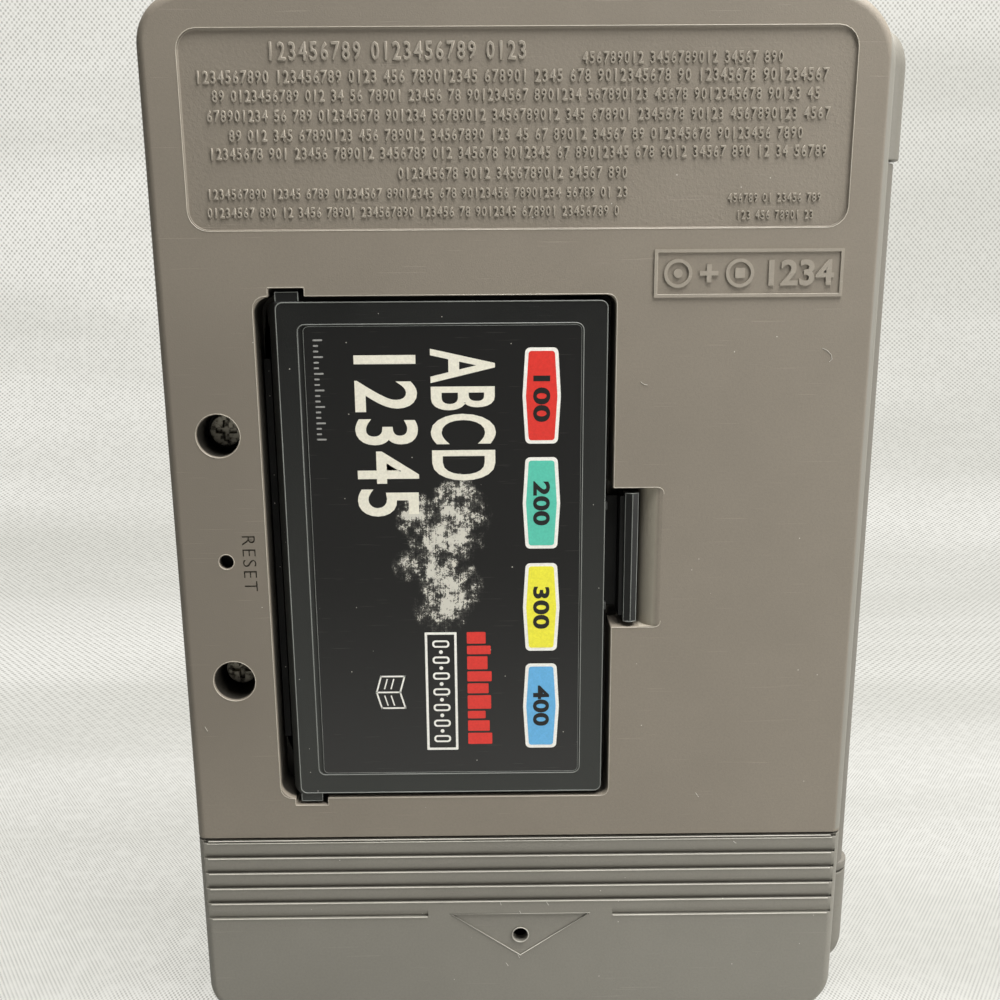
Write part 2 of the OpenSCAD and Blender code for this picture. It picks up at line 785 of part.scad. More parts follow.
module socket_pins() {
  color([0.85, 0.7, 0.35]) stand() at_card() for (i = [0:pin_count - 1]) at_contact(i) {
    block(0, contact_l, -contact_w / 2, contact_w / 2, socket_z - contact_t - seat, socket_z - seat);
    rod(contact_l / 2, 0, socket_z + 0.2, 0.45, contact_w);
  }
}

module card2d(d = 0) {
  translate([card_x, 0]) round2d(card_w - 2 * d, card_l - 2 * d, card_corner);
}

// The card's outline with its shoulder at the connector side
module card_body2d() {
  translate([card_x - shoulder_w / 2, 0]) round2d(card_w + shoulder_w, card_l, card_corner);
}

module card_front_shell() {
  color(card_c) stand() at_card() difference() {
    translate([0, 0, card_z]) linear_extrude(card_mid_z - card_z) card_body2d();
    translate([0, 0, card_z + card_plate]) linear_extrude(card_mid_z) card2d(card_wall);
    block(contact_x0 - 0.2, contact_x0 + contact_l + 0.4, -socket_l / 2, socket_l / 2,
          card_z - 1, card_z + 1.5);
  }
}

module card_back_shell() {
  color(card_c) stand() at_card() difference() {
    union() {
      difference() {
        translate([0, 0, card_mid_z]) linear_extrude(card_top_z - card_mid_z) card_body2d();
        translate([0, card_l, 0]) rotate([90, 0, 0]) linear_extrude(2 * card_l)
          polygon([[card_x0, card_top_z], [card_x0 - shoulder_w, card_top_z - shoulder_h],
                   [card_x0 - 3, card_top_z], [card_x0 - 3, card_top_z + 1],
                   [card_x0, card_top_z + 1]]);
        translate([0, 0, card_mid_z - 1])
          linear_extrude(card_top_z - card_mid_z) card2d(card_wall);
      }
      for (s = [-1, 1]) mirror([0, s > 0 ? 0 : 1, 0]) {
        block(card_x0, card_x0 + tab_w, card_l / 2 - 1, card_l / 2 + tab_out,
              card_top_z - tab_t - 0.2, card_top_z - 0.2);
        block(card_x1 - 0.5, card_x1 + nub_out, nub_y - 0.5, nub_y + 0.5,
              card_top_z - 1.6, card_top_z - 0.8);
      }
    }
    translate([label_x - label_gap / 2, 0, card_top_z - label_recess]) linear_extrude(1)
      round2d(label_w + 2 * label_play + label_gap, label_l + 2 * label_play, 0.8);
  }
}

module card_board() {
  color([0.10, 0.35, 0.20]) stand() at_card() translate([0, 0, card_board_z])
    linear_extrude(card_board_t) card2d(card_wall + 0.1);
}

module card_label() {
  color([0.08, 0.08, 0.08]) stand() at_card() translate([label_x, 0, card_top_z - label_recess])
    linear_extrude(label_t) round2d(label_w, label_l, 0.7);
}

// The card's spring finger: a foot by the card's wall, an upright and a ridged head
module card_latch() {
  y = latch_l / 2;
  up_x = latch_x0 - latch_wall + 0.1;
  color(card_c) stand() at_card() {
    block(card_x1 + 0.15, up_x + latch_wall, -y + 1, y - 1,
          latch_foot_z, latch_foot_z + latch_foot_t);
    block(up_x, up_x + latch_wall, -y + 0.5, y - 0.5, latch_foot_z, latch_head_z + 1);
    translate([0, y, 0]) rotate([90, 0, 0]) linear_extrude(latch_l)
      polygon([[latch_x0, latch_head_z], [latch_x1, latch_head_z], [latch_x1, back_z - 0.35],
               [(latch_x0 + latch_x1) / 2, back_z], [latch_x0, back_z - 0.3]]);
  }
}

module key(k) {
  c = k[0] == "red" ? [0.75, 0.12, 0.12] : k[0] == "green" ? [0.1, 0.6, 0.5]
    : k[0] == "yellow" ? [0.9, 0.8, 0.1] : k[0] == "blue" ? [0.25, 0.55, 0.85] : key_c;
  color(c) stand() {
    translate([0, 0, front_z - key_proud]) linear_extrude(0.3) key_outline(k, -0.3);
    translate([0, 0, front_z - key_proud + 0.3])
      linear_extrude(flange_z - front_z + key_proud - 0.3) key_outline(k, 0);
    translate([0, 0, flange_z]) linear_extrude(flange_t) key_outline(k, flange);
    translate([k[1], k[2], flange_z]) cylinder(h = stem_z - flange_z, r = 1);
  }
}

rear_case();
front_case();
lid();
hinge_pins();
battery_door();
case_screws();
display_lens();
display_glass();
zebra_strips();
main_board();
board_components();
key_mat();
coin_cells();
battery_contacts();
card_socket();
socket_pins();
reset_button();
card_front_shell();
card_back_shell();
card_board();
card_label();
card_latch();
for (k = keys) key(k);
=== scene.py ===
# A handheld electronic dictionary, seen from its back with a book card plugged in.
# Everything is in metres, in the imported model's own place: x across the case, z up along it, back towards -y.
import json
import random
from math import cos, pi, radians, sin

import bmesh
import bpy
from mathutils import Matrix, Vector

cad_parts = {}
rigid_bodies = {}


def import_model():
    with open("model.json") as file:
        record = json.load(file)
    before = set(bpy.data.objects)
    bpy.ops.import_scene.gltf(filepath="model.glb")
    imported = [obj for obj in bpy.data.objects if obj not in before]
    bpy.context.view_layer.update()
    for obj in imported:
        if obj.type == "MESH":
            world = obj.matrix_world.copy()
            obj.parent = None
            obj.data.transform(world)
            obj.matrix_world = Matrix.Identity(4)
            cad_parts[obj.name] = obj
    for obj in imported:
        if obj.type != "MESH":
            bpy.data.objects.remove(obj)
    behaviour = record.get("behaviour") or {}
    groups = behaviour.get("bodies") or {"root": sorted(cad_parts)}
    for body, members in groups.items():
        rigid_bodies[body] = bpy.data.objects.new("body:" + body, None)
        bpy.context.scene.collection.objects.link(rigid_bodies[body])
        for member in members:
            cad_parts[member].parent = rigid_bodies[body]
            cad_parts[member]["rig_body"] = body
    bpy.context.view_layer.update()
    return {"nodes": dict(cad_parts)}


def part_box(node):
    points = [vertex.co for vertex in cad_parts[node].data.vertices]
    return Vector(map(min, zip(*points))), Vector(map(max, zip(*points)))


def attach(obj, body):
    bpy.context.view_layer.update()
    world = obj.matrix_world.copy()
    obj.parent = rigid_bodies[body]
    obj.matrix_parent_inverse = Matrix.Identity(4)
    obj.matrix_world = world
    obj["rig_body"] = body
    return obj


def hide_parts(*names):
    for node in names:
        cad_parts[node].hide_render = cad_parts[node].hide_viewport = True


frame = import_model()
nodes = frame["nodes"]
scene = bpy.context.scene
scene.view_settings.view_transform = "Standard"
mm = 0.001

caseLow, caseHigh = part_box("rear_case")
backY = caseLow.y  # the flat of the back
middleZ = (caseLow.z + caseHigh.z) / 2  # half way up the case
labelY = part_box("card_label")[0].y

# The ways a flat drawing can lie: its right, its up and the way it faces
onBack = (Vector((1, 0, 0)), Vector((0, 0, 1)), Vector((0, -1, 0)))
onBackTurned = (Vector((0, 0, -1)), Vector((1, 0, 0)), Vector((0, -1, 0)))
onKeys = (Vector((0, 0, 1)), Vector((1, 0, 0)), Vector((0, 1, 0)))


# Camera, stage and lamps

view = {"place": (-3.14, -128.92, 99.28), "turn": (76.834, 0.385, -0.499), "lens": 37.87}


def makeCamera():
    eye = bpy.data.cameras.new("camera")
    eye.lens = view["lens"]
    eye.sensor_width = 36
    eye.clip_start = 0.005
    camera = bpy.data.objects.new("camera", eye)
    camera.location = Vector(view["place"]) * mm
    camera.rotation_euler = [radians(a) for a in view["turn"]]
    scene.collection.objects.link(camera)
    scene.camera = camera


sweep = {"near": -700, "far": 170, "bend": 90, "top": 1100, "half": 1500, "steps": 24}


def makeSweep():
    # A pale sheet that lies under the object and curves up behind it
    profile = [(sweep["near"], 0), (sweep["far"], 0)]
    for i in range(1, sweep["steps"] + 1):
        a = i / sweep["steps"] * pi / 2
        profile.append((sweep["far"] + sweep["bend"] * sin(a), sweep["bend"] * (1 - cos(a))))
    profile.append((sweep["far"] + sweep["bend"], sweep["top"]))
    verts = [(s * sweep["half"] * mm, y * mm, z * mm) for s in (-1, 1) for y, z in profile]
    n = len(profile)
    faces = [(i, n + i, n + i + 1, i + 1) for i in range(n - 1)]
    mesh = bpy.data.meshes.new("sweep")
    mesh.from_pydata(verts, [], faces)
    mesh.shade_smooth()
    sheet = bpy.data.objects.new("sweep", mesh)
    scene.collection.objects.link(sheet)
    return sheet


lamps = {
    "key": {"place": (275, -165, 85), "size": 120, "power": 0.47, "colour": (1.0, 0.99, 0.96)},
    "top": {"place": (105, -62, 420), "size": 230, "power": 4.0, "colour": (1.0, 0.985, 0.96)},
}
airLight = {"colour": (0.99, 0.99, 1.0), "strength": 0.06}


def makeLamps():
    for name, lamp in lamps.items():
        light = bpy.data.lights.new(name, "AREA")
        light.size = lamp["size"] * mm
        light.energy = lamp["power"]
        light.color = lamp["colour"]
        holder = bpy.data.objects.new(name, light)
        holder.location = Vector(lamp["place"]) * mm
        toObject = Vector((0, 0, middleZ)) - holder.location
        holder.rotation_euler = toObject.to_track_quat("-Z", "Y").to_euler()
        scene.collection.objects.link(holder)
    world = bpy.data.worlds.new("air")
    world.use_nodes = True
    background = world.node_tree.nodes["Background"]
    background.inputs["Color"].default_value = (*airLight["colour"], 1)
    background.inputs["Strength"].default_value = airLight["strength"]
    scene.world = world


makeCamera()
backdrop = makeSweep()
makeLamps()
print("camera, stage and lamps made")


# Building blocks of the finishes

def node(tree, kind, values, **settings):
    made = tree.nodes.new(kind)
    for name, value in settings.items():
        setattr(made, name, value)
    for key, value in values.items():
        if isinstance(value, bpy.types.NodeSocket):
            tree.links.new(value, made.inputs[key])
        else:
            made.inputs[key].default_value = value
    return made


def startFinish(name, rough, specular=0.5, metal=0.0):
    finish = bpy.data.materials.new(name)
    finish.use_nodes = True
    tree = finish.node_tree
    shader = tree.nodes["Principled BSDF"]
    shader.inputs["Roughness"].default_value = rough
    shader.inputs["Specular IOR Level"].default_value = specular
    shader.inputs["Metallic"].default_value = metal
    coords = tree.nodes.new("ShaderNodeTexCoord").outputs["Object"]
    return finish, tree, shader, coords


def noise(tree, coords, size, detail=2.0, roughness=0.5):
    # size is about how many millimetres one patch of it measures
    values = {"Vector": coords, "Scale": 1 / (size * mm), "Detail": detail, "Roughness": roughness}
    return node(tree, "ShaderNodeTexNoise", values).outputs["Fac"]


def ramp(tree, value, low, high, start=0.0, end=1.0):
    values = {"Value": value, "From Min": low, "From Max": high, "To Min": start, "To Max": end}
    return node(tree, "ShaderNodeMapRange", values, interpolation_type="SMOOTHSTEP").outputs["Result"]


def mixed(tree, amount, first, second):
    values = {0: amount, 6: first, 7: second}
    return node(tree, "ShaderNodeMix", values, data_type="RGBA").outputs[2]


def maths(tree, operation, first, second=0.0):
    return node(tree, "ShaderNodeMath", {0: first, 1: second}, operation=operation).outputs[0]


def shade(colour, factor=1.0):
    return (*[min(1, c * factor) for c in colour], 1)


def stretched(tree, coords, scale, turn=(0, 0, 0), move=(0, 0, 0)):
    values = {"Vector": coords, "Location": move, "Rotation": turn, "Scale": scale}
    return node(tree, "ShaderNodeMapping", values).outputs["Vector"]


def specks(tree, coords, cell, radius, share):
    # Small round dots, one in some of the cells
    cells = node(tree, "ShaderNodeTexVoronoi", {"Vector": coords, "Scale": 1 / (cell * mm)})
    dot = ramp(tree, cells.outputs["Distance"], radius / cell * 0.6, radius / cell, 1, 0)
    chosen = node(tree, "ShaderNodeSeparateColor", {"Color": cells.outputs["Color"]}).outputs["Red"]
    return maths(tree, "MULTIPLY", dot, maths(tree, "LESS_THAN", chosen, share))


def scratches(tree, coords, length, spacing, turn, cut):
    # Long thin streaks, where a stretched noise peaks
    streak = stretched(tree, coords, (1 / length / mm, 1 / spacing / mm, 1 / spacing / mm), turn)
    values = {"Vector": streak, "Scale": 1.0, "Detail": 1.0}
    return ramp(tree, node(tree, "ShaderNodeTexNoise", values).outputs["Fac"], cut, cut + 0.05)


def bumped(tree, shader, height, depth, strength=1.0):
    values = {"Height": height, "Distance": depth * mm, "Strength": strength}
    tree.links.new(node(tree, "ShaderNodeBump", values).outputs["Normal"], shader.inputs["Normal"])


def within(tree, coords, low, high, soft):
    # 1 inside a box, falling to 0 over a soft edge
    parts = node(tree, "ShaderNodeSeparateXYZ", {"Vector": coords}).outputs
    mask = None
    for i in range(3):
        for side, edge in ((1, low[i]), (-1, high[i])):
            if edge is None:
                continue
            inside = ramp(tree, parts[i], edge * mm, (edge + side * soft) * mm)
            mask = inside if mask is None else maths(tree, "MULTIPLY", mask, inside)
    return mask


# Finishes

plastics = {
    "case": {"colour": (0.226, 0.199, 0.162), "rough": 0.55, "specular": 0.35, "cloud": 0.035, "dust": 0.02},
    # Raised figures and signs are painted lighter than the case, a painted highlight on their tops
    "raisedCaseHighlight": {"colour": (0.295, 0.265, 0.22), "rough": 0.5, "specular": 0.45, "cloud": 0.05, "dust": 0.0},
    "door": {"colour": (0.216, 0.206, 0.178), "rough": 0.52, "specular": 0.4, "cloud": 0.03, "dust": 0.035},
    # Light colours of the beads that paint highlights along the moulded edges
    "rimHighlightCase": {"colour": (0.40, 0.365, 0.305), "rough": 0.45, "specular": 0.5, "cloud": 0.12, "dust": 0.0},
    "rimHighlightDoor": {"colour": (0.43, 0.415, 0.365), "rough": 0.45, "specular": 0.5, "cloud": 0.12, "dust": 0.0},
    "rimHighlightBlack": {"colour": (0.17, 0.18, 0.168), "rough": 0.45, "specular": 0.5, "cloud": 0.2, "dust": 0.0},
    "grimeAndShade": {"colour": (0.045, 0.039, 0.031), "rough": 0.8, "specular": 0.2, "cloud": 0.1, "dust": 0.0},
    "lint": {"colour": (0.62, 0.60, 0.55), "rough": 0.8, "specular": 0.2, "cloud": 0.05, "dust": 0.0},
    "lid": {"colour": (0.180, 0.171, 0.147), "rough": 0.5, "specular": 0.4, "cloud": 0.03, "dust": 0.03},
    "card": {"colour": (0.0105, 0.011, 0.0105), "rough": 0.45, "specular": 0.3, "cloud": 0.08, "dust": 0.05},
    "socket": {"colour": (0.006, 0.006, 0.006), "rough": 0.6, "specular": 0.3, "cloud": 0.05, "dust": 0.5},
    "keys": {"colour": (0.045, 0.046, 0.05), "rough": 0.48, "specular": 0.45, "cloud": 0.05, "dust": 0.02},
    "key_red": {"colour": (0.6, 0.055, 0.04), "rough": 0.45, "specular": 0.45, "cloud": 0.04, "dust": 0.02},
    "key_green": {"colour": (0.06, 0.42, 0.33), "rough": 0.45, "specular": 0.45, "cloud": 0.04, "dust": 0.02},
    "key_yellow": {"colour": (0.75, 0.62, 0.06), "rough": 0.45, "specular": 0.45, "cloud": 0.04, "dust": 0.02},
    "key_blue": {"colour": (0.09, 0.32, 0.62), "rough": 0.45, "specular": 0.45, "cloud": 0.04, "dust": 0.02},
    "reset": {"colour": (0.05, 0.05, 0.048), "rough": 0.5, "specular": 0.4, "cloud": 0.05, "dust": 0.02},
    "mat": {"colour": (0.30, 0.30, 0.29), "rough": 0.75, "specular": 0.3, "cloud": 0.05, "dust": 0.05},
    "zebra": {"colour": (0.62, 0.42, 0.44), "rough": 0.7, "specular": 0.3, "cloud": 0.04, "dust": 0.0},
    "chips": {"colour": (0.018, 0.018, 0.019), "rough": 0.5, "specular": 0.4, "cloud": 0.05, "dust": 0.02},
}
# Deep places darkened with painted shade, as if little light reached them: lowest and highest corners in millimetres,
# and how softly each fades
shadedHollows = [
    {"low": (-30.6, -7.05, 31.6), "high": (11.3, 2.0, 95.9), "soft": 0.5},
    {"low": (10.6, -6.9, 54.4), "high": (15.2, 2.0, 72.4), "soft": 1.0},
    {"low": (-38.4, -7.36, 45.0), "high": (-31.9, 2.0, 82.0), "soft": 0.4},
]
# Colour and strength of the painted shade in the deep places
dirtAndShade = {"colour": (0.012, 0.011, 0.009), "amount": 0.9}
panelFloor = {"low": (-36.8, -7.35, 102.0), "high": (36.8, None, 123.1), "soft": 0.06}
# Painted light and shade, as changes of colour: where, how softly, the colour as a share of the plain one, and how much
# of it
paintedLightAndShade = {
    # Case: a painted reflection on the right rounded edge, painted shade on the right side, painted light on the
    # scoop's ramp, painted shade over the left middle
    "case": [{"low": (40.3, None, 27.0), "high": (None, -5.6, 127.5), "soft": 0.25, "tone": (1.0, 1.13, 1.24), "amount": 0.7},
             {"low": (40.9, -5.9, 0.5), "high": (None, 9.0, 127.5), "soft": 0.3, "tone": (0.66, 0.72, 0.78), "amount": 0.8},
             {"low": (14.5, -7.46, 54.4), "high": (17.4, 2.0, 72.5), "soft": 0.22, "tone": (1.65, 1.72, 1.72), "amount": 1.0},
             {"low": (None, None, 28.0), "high": (-18.0, None, 102.0), "soft": 18.0, "tone": (0.86, 0.86, 0.86), "amount": 1.0}],
    # Door: painted shade in the grooves
    "door": [{"low": (-40.4, -7.47, 16.5), "high": (40.4, 2.0, 26.9), "soft": 0.2, "tone": (0.42, 0.41, 0.4), "amount": 0.85}],
    # Card: a painted sheen growing towards its lower end, painted shade down in the bay and on the latch in the scoop
    "card": [{"low": (None, None, None), "high": (None, None, 98.0), "soft": 70.0, "tone": (3.3, 3.35, 3.25), "amount": 1.0},
             {"low": (-31.0, -6.4, None), "high": (None, 9.0, None), "soft": 0.8, "tone": (0.3, 0.3, 0.3), "amount": 0.9},
             {"low": (10.6, None, 54.0), "high": (15.0, 9.0, 73.0), "soft": 0.3, "tone": (0.5, 0.5, 0.5), "amount": 0.9}],
}


def plastic(name, look):
    finish, tree, shader, coords = startFinish(name, look["rough"], look["specular"])
    colour = look["colour"]
    cloud = ramp(tree, noise(tree, coords, 18, 4, 0.6), 0.3, 0.7)
    tint = mixed(tree, cloud, shade(colour, 1 - look["cloud"]), shade(colour, 1 + look["cloud"]))
    fleck = ramp(tree, noise(tree, coords, 0.3, 3, 0.6), 0.35, 0.7, 0, 0.22)
    tint = mixed(tree, fleck, tint, shade(colour, 0.72))
    # Painted light and shade laid over the colour
    for area in paintedLightAndShade.get(name, []):
        inside = within(tree, coords, area["low"], area["high"], area["soft"])
        other = (*[c * t for c, t in zip(colour, area["tone"])], 1)
        tint = mixed(tree, maths(tree, "MULTIPLY", inside, area["amount"]), tint, other)
    # The case gets painted shade in its deep places
    if name == "case":
        deep = None
        for place in shadedHollows:
            inside = within(tree, coords, place["low"], place["high"], place["soft"])
            deep = inside if deep is None else maths(tree, "MAXIMUM", deep, inside)
        tint = mixed(tree, maths(tree, "MULTIPLY", deep, dirtAndShade["amount"]), tint, shade(dirtAndShade["colour"]))
    rubbed = scratches(tree, coords, 9, 0.16, (0.3, 0.2, 0.9), 0.72)
    tint = mixed(tree, maths(tree, "MULTIPLY", rubbed, 0.25), tint, shade(colour, 1.5))
    if look["dust"]:
        dust = specks(tree, coords, 0.8, 0.075, look["dust"])
        tint = mixed(tree, dust, tint, (0.62, 0.6, 0.55, 1))
    tree.links.new(tint, shader.inputs["Base Color"])
    patchy = ramp(tree, noise(tree, coords, 7, 3), 0.3, 0.7, look["rough"] - 0.05, look["rough"] + 0.07)
    tree.links.new(patchy, shader.inputs["Roughness"])
    grain = maths(tree, "ADD", noise(tree, coords, 0.16, 2), maths(tree, "MULTIPLY", rubbed, -0.6))
    if name == "case":
        floor = within(tree, coords, panelFloor["low"], panelFloor["high"], panelFloor["soft"])
        coarse = maths(tree, "MULTIPLY", noise(tree, coords, 0.4, 3, 0.6), floor)
        grain = maths(tree, "ADD", grain, maths(tree, "MULTIPLY", coarse, 3.0))
    bumped(tree, shader, grain, 0.02, 0.7)
    return finish


def sheetMetal(name, colour, rough, grimeAndShade):
    finish, tree, shader, coords = startFinish(name, rough, metal=1.0)
    dirtAndShade = ramp(tree, noise(tree, coords, 0.9, 4, 0.7), 0.42, 0.62, 0, grimeAndShade)
    tint = mixed(tree, dirtAndShade, shade(colour), (0.05, 0.042, 0.034, 1))
    tree.links.new(tint, shader.inputs["Base Color"])
    tree.links.new(ramp(tree, dirtAndShade, 0, 1, rough, 0.75), shader.inputs["Roughness"])
    bumped(tree, shader, noise(tree, coords, 0.12, 2), 0.012, 0.6)
    return finish


label = {
    "ink": (0.0097, 0.0097, 0.0095),
    "paper": (0.60, 0.585, 0.52),
    # Where the black is rubbed through: x and height on the back, and radius
    "worn": [(-7.4, 5.6, 3.1), (-7.6, 2.9, 2.7), (-12.0, 5.4, 2.2), (-9.9, 2.7, 2.6), (-9.6, -1.0, 2.3),
             (-13.4, -0.7, 1.5), (-8.3, -3.6, 3.0), (-9.4, -6.0, 2.7), (-7.4, 8.6, 1.6)],
}


def rubbedThrough(tree, coords, spots):
    # How near the rubbed spots are, and where the black has flaked off
    near = None
    for x, up, radius in spots:
        centre = (x * mm, labelY, middleZ + up * mm)
        apart = node(tree, "ShaderNodeVectorMath", {0: coords, 1: centre}, operation="DISTANCE").outputs["Value"]
        close = ramp(tree, apart, radius * 1.5 * mm, 0.0)
        near = close if near is None else maths(tree, "MAXIMUM", near, close)
    streak = stretched(tree, coords, (1 / 0.12 / mm, 1 / mm, 1 / 2.5 / mm), (0, 0.35, 0))
    streak = node(tree, "ShaderNodeTexNoise", {"Vector": streak, "Scale": 1.0, "Detail": 2.0}).outputs["Fac"]
    parts = [(near, 0.55), (noise(tree, coords, 1.4, 9, 0.75), 3.2), (streak, 0.6),
             (noise(tree, coords, 0.14, 3, 0.8), 0.9)]
    total = None
    for value, gain in parts:
        part = maths(tree, "MULTIPLY", value, gain)
        total = part if total is None else maths(tree, "ADD", total, part)
    return near, total


def labelFinish():
    finish, tree, shader, coords = startFinish("label", 0.42, 0.3)
    near, worn = rubbedThrough(tree, coords, label["worn"])
    edge = ramp(tree, near, 0.01, 0.12)
    patch = maths(tree, "MULTIPLY", ramp(tree, worn, 2.7, 2.78), edge)
    haze = maths(tree, "MULTIPLY", maths(tree, "MULTIPLY", ramp(tree, worn, 2.3, 2.75), edge), 0.12)
    # Painted sheen: the black label is made lighter towards its lower end, standing in for reflected light
    low = within(tree, coords, (None, None, None), (None, None, 66.0), 34.0)
    tint = mixed(tree, low, shade(label["ink"]), shade(label["ink"], 3.0))
    tint = mixed(tree, haze, tint, shade(label["paper"]))
    tint = mixed(tree, patch, tint, shade(label["paper"]))
    lines = maths(tree, "MULTIPLY", scratches(tree, coords, 6, 0.07, (0.2, 0.7, 0.5), 0.68), near)
    other = maths(tree, "MULTIPLY", scratches(tree, coords, 5, 0.06, (0.1, -0.5, 0.2), 0.73), 0.2)
    lines = maths(tree, "MAXIMUM", maths(tree, "MULTIPLY", lines, 0.6), other)
    tint = mixed(tree, maths(tree, "MULTIPLY", lines, 0.6), tint, shade(label["paper"], 0.7))
    tint = mixed(tree, specks(tree, coords, 0.9, 0.085, 0.06), tint, (0.5, 0.48, 0.43, 1))
    tree.links.new(tint, shader.inputs["Base Color"])
    tree.links.new(ramp(tree, patch, 0, 1, 0.4, 0.75), shader.inputs["Roughness"])
    bumped(tree, shader, noise(tree, coords, 0.25, 3), 0.012, 0.5)
    return finish


inks = {
    "inkWhite": (0.86, 0.85, 0.80), "inkCream": (0.80, 0.775, 0.66), "inkRed": (0.70, 0.036, 0.026),
    "inkTeal": (0.10, 0.55, 0.42), "inkYellow": (0.85, 0.80, 0.05), "inkBlue": (0.13, 0.43, 0.75),
    "inkBlack": (0.009, 0.009, 0.009), "inkGrey": (0.30, 0.30, 0.29),
}


def ink(name, colour):
    finish, tree, shader, coords = startFinish(name, 0.42, 0.45)
    uneven = ramp(tree, noise(tree, coords, 0.28, 3, 0.7), 0.3, 0.75)
    tint = mixed(tree, uneven, shade(colour, 0.9), shade(colour, 1.04))
    missing = ramp(tree, noise(tree, coords, 0.2, 4, 0.8), 0.66, 0.72, 0, 0.5)
    if name in ("inkWhite", "inkCream"):
        tint = mixed(tree, missing, tint, shade(colour, 0.45))
    tree.links.new(tint, shader.inputs["Base Color"])
    bumped(tree, shader, noise(tree, coords, 0.25, 2), 0.01, 0.4)
    return finish


def clearWindow():
    finish, tree, shader, coords = startFinish("lens", 0.08, 0.5)
    shader.inputs["Base Color"].default_value = (0.86, 0.9, 0.88, 1)
    shader.inputs["Transmission Weight"].default_value = 0.92
    shader.inputs["IOR"].default_value = 1.49
    haze = scratches(tree, coords, 12, 0.12, (0.4, 0.2, 0.3), 0.68)
    tree.links.new(ramp(tree, haze, 0, 1, 0.07, 0.4), shader.inputs["Roughness"])
    bumped(tree, shader, haze, 0.004, 0.4)
    return finish


def liquidCrystal():
    finish, tree, shader, coords = startFinish("lcd", 0.3, 0.5)
    rows = node(tree, "ShaderNodeTexWave", {"Vector": coords, "Scale": 1 / (5.2 * mm)}, bands_direction="X")
    dots = node(tree, "ShaderNodeTexWave", {"Vector": coords, "Scale": 1 / (1.9 * mm)}, bands_direction="Z")
    faint = maths(tree, "MULTIPLY", rows.outputs["Fac"], dots.outputs["Fac"])
    tint = mixed(tree, ramp(tree, faint, 0.2, 0.9, 0, 0.25), (0.30, 0.34, 0.26, 1), (0.24, 0.28, 0.21, 1))
    tree.links.new(tint, shader.inputs["Base Color"])
    bumped(tree, shader, noise(tree, coords, 2, 2), 0.01, 0.2)
    return finish


def circuitBoard():
    finish, tree, shader, coords = startFinish("board", 0.4, 0.5)
    wave = {"Vector": coords, "Scale": 1 / (4.5 * mm), "Distortion": 3.0, "Detail": 1.0}
    tracks = node(tree, "ShaderNodeTexWave", wave, bands_direction="DIAGONAL").outputs["Fac"]
    tint = mixed(tree, ramp(tree, tracks, 0.55, 0.65), (0.02, 0.11, 0.05, 1), (0.035, 0.19, 0.08, 1))
    tint = mixed(tree, specks(tree, coords, 1.6, 0.35, 0.35), tint, (0.5, 0.42, 0.22, 1))
    tree.links.new(tint, shader.inputs["Base Color"])
    bumped(tree, shader, ramp(tree, tracks, 0.5, 0.7), 0.02, 0.5)
    return finish


def cloth(name):
    # The pale sheet under and behind the object
    finish, tree, shader, coords = startFinish(name, 0.9, 0.2)
    cloud = ramp(tree, noise(tree, coords, 60, 3), 0.3, 0.7)
    tint = mixed(tree, cloud, (0.44, 0.44, 0.42, 1), (0.47, 0.47, 0.45, 1))
    tree.links.new(tint, shader.inputs["Base Color"])
    # Painted shade of soft folds in the sheet
    foldShade = stretched(tree, coords, (1 / 260 / mm, 1 / 45 / mm, 1 / 45 / mm), (0.1, 0, 0.15))
    foldShade = ramp(tree, node(tree, "ShaderNodeTexNoise", {"Vector": foldShade, "Scale": 1.0}).outputs["Fac"], 0.3, 0.7)
    parts = node(tree, "ShaderNodeSeparateXYZ", {"Vector": coords}).outputs
    length = maths(tree, "ADD", parts["Y"], parts["Z"])
    weaves = []
    for across, along in ((1.7, 1.9), (0.6, 0.85)):
        threads = [maths(tree, "SINE", maths(tree, "MULTIPLY", value, 2 * pi / pitch / mm))
                   for value, pitch in ((parts["X"], across), (length, along))]
        weaves.append(ramp(tree, maths(tree, "MULTIPLY", *threads), -0.3, 0.8))
    # The lying part is nearer the eye, so its threads are finer
    weave = node(tree, "ShaderNodeMix", {0: ramp(tree, parts["Y"], 0.05, 0.12), 2: weaves[1], 3: weaves[0]}).outputs[0]
    weave = maths(tree, "MULTIPLY", weave, ramp(tree, noise(tree, coords, 2, 3), 0.3, 0.6, 0.5, 1.0))
    pale = mixed(tree, foldShade, (0.77, 0.765, 0.70, 1), (0.98, 0.97, 0.91, 1))
    pale = mixed(tree, maths(tree, "MULTIPLY", weave, 0.8), pale, (0.36, 0.355, 0.32, 1))
    bumped(tree, shader, noise(tree, coords, 0.8, 2), 0.05, 0.3)
    rays = tree.nodes.new("ShaderNodeLightPath").outputs
    seen = maths(tree, "MAXIMUM", rays["Is Glossy Ray"], rays["Is Transmission Ray"])
    seen = maths(tree, "MAXIMUM", rays["Is Camera Ray"], seen)
    pale = node(tree, "ShaderNodeEmission", {"Color": pale, "Strength": 1.0})
    both = node(tree, "ShaderNodeMixShader", {
        0: maths(tree, "MULTIPLY", seen, 0.82), 1: shader.outputs[0], 2: pale.outputs[0]})
    tree.links.new(both.outputs[0], tree.nodes["Material Output"].inputs["Surface"])
    return finish


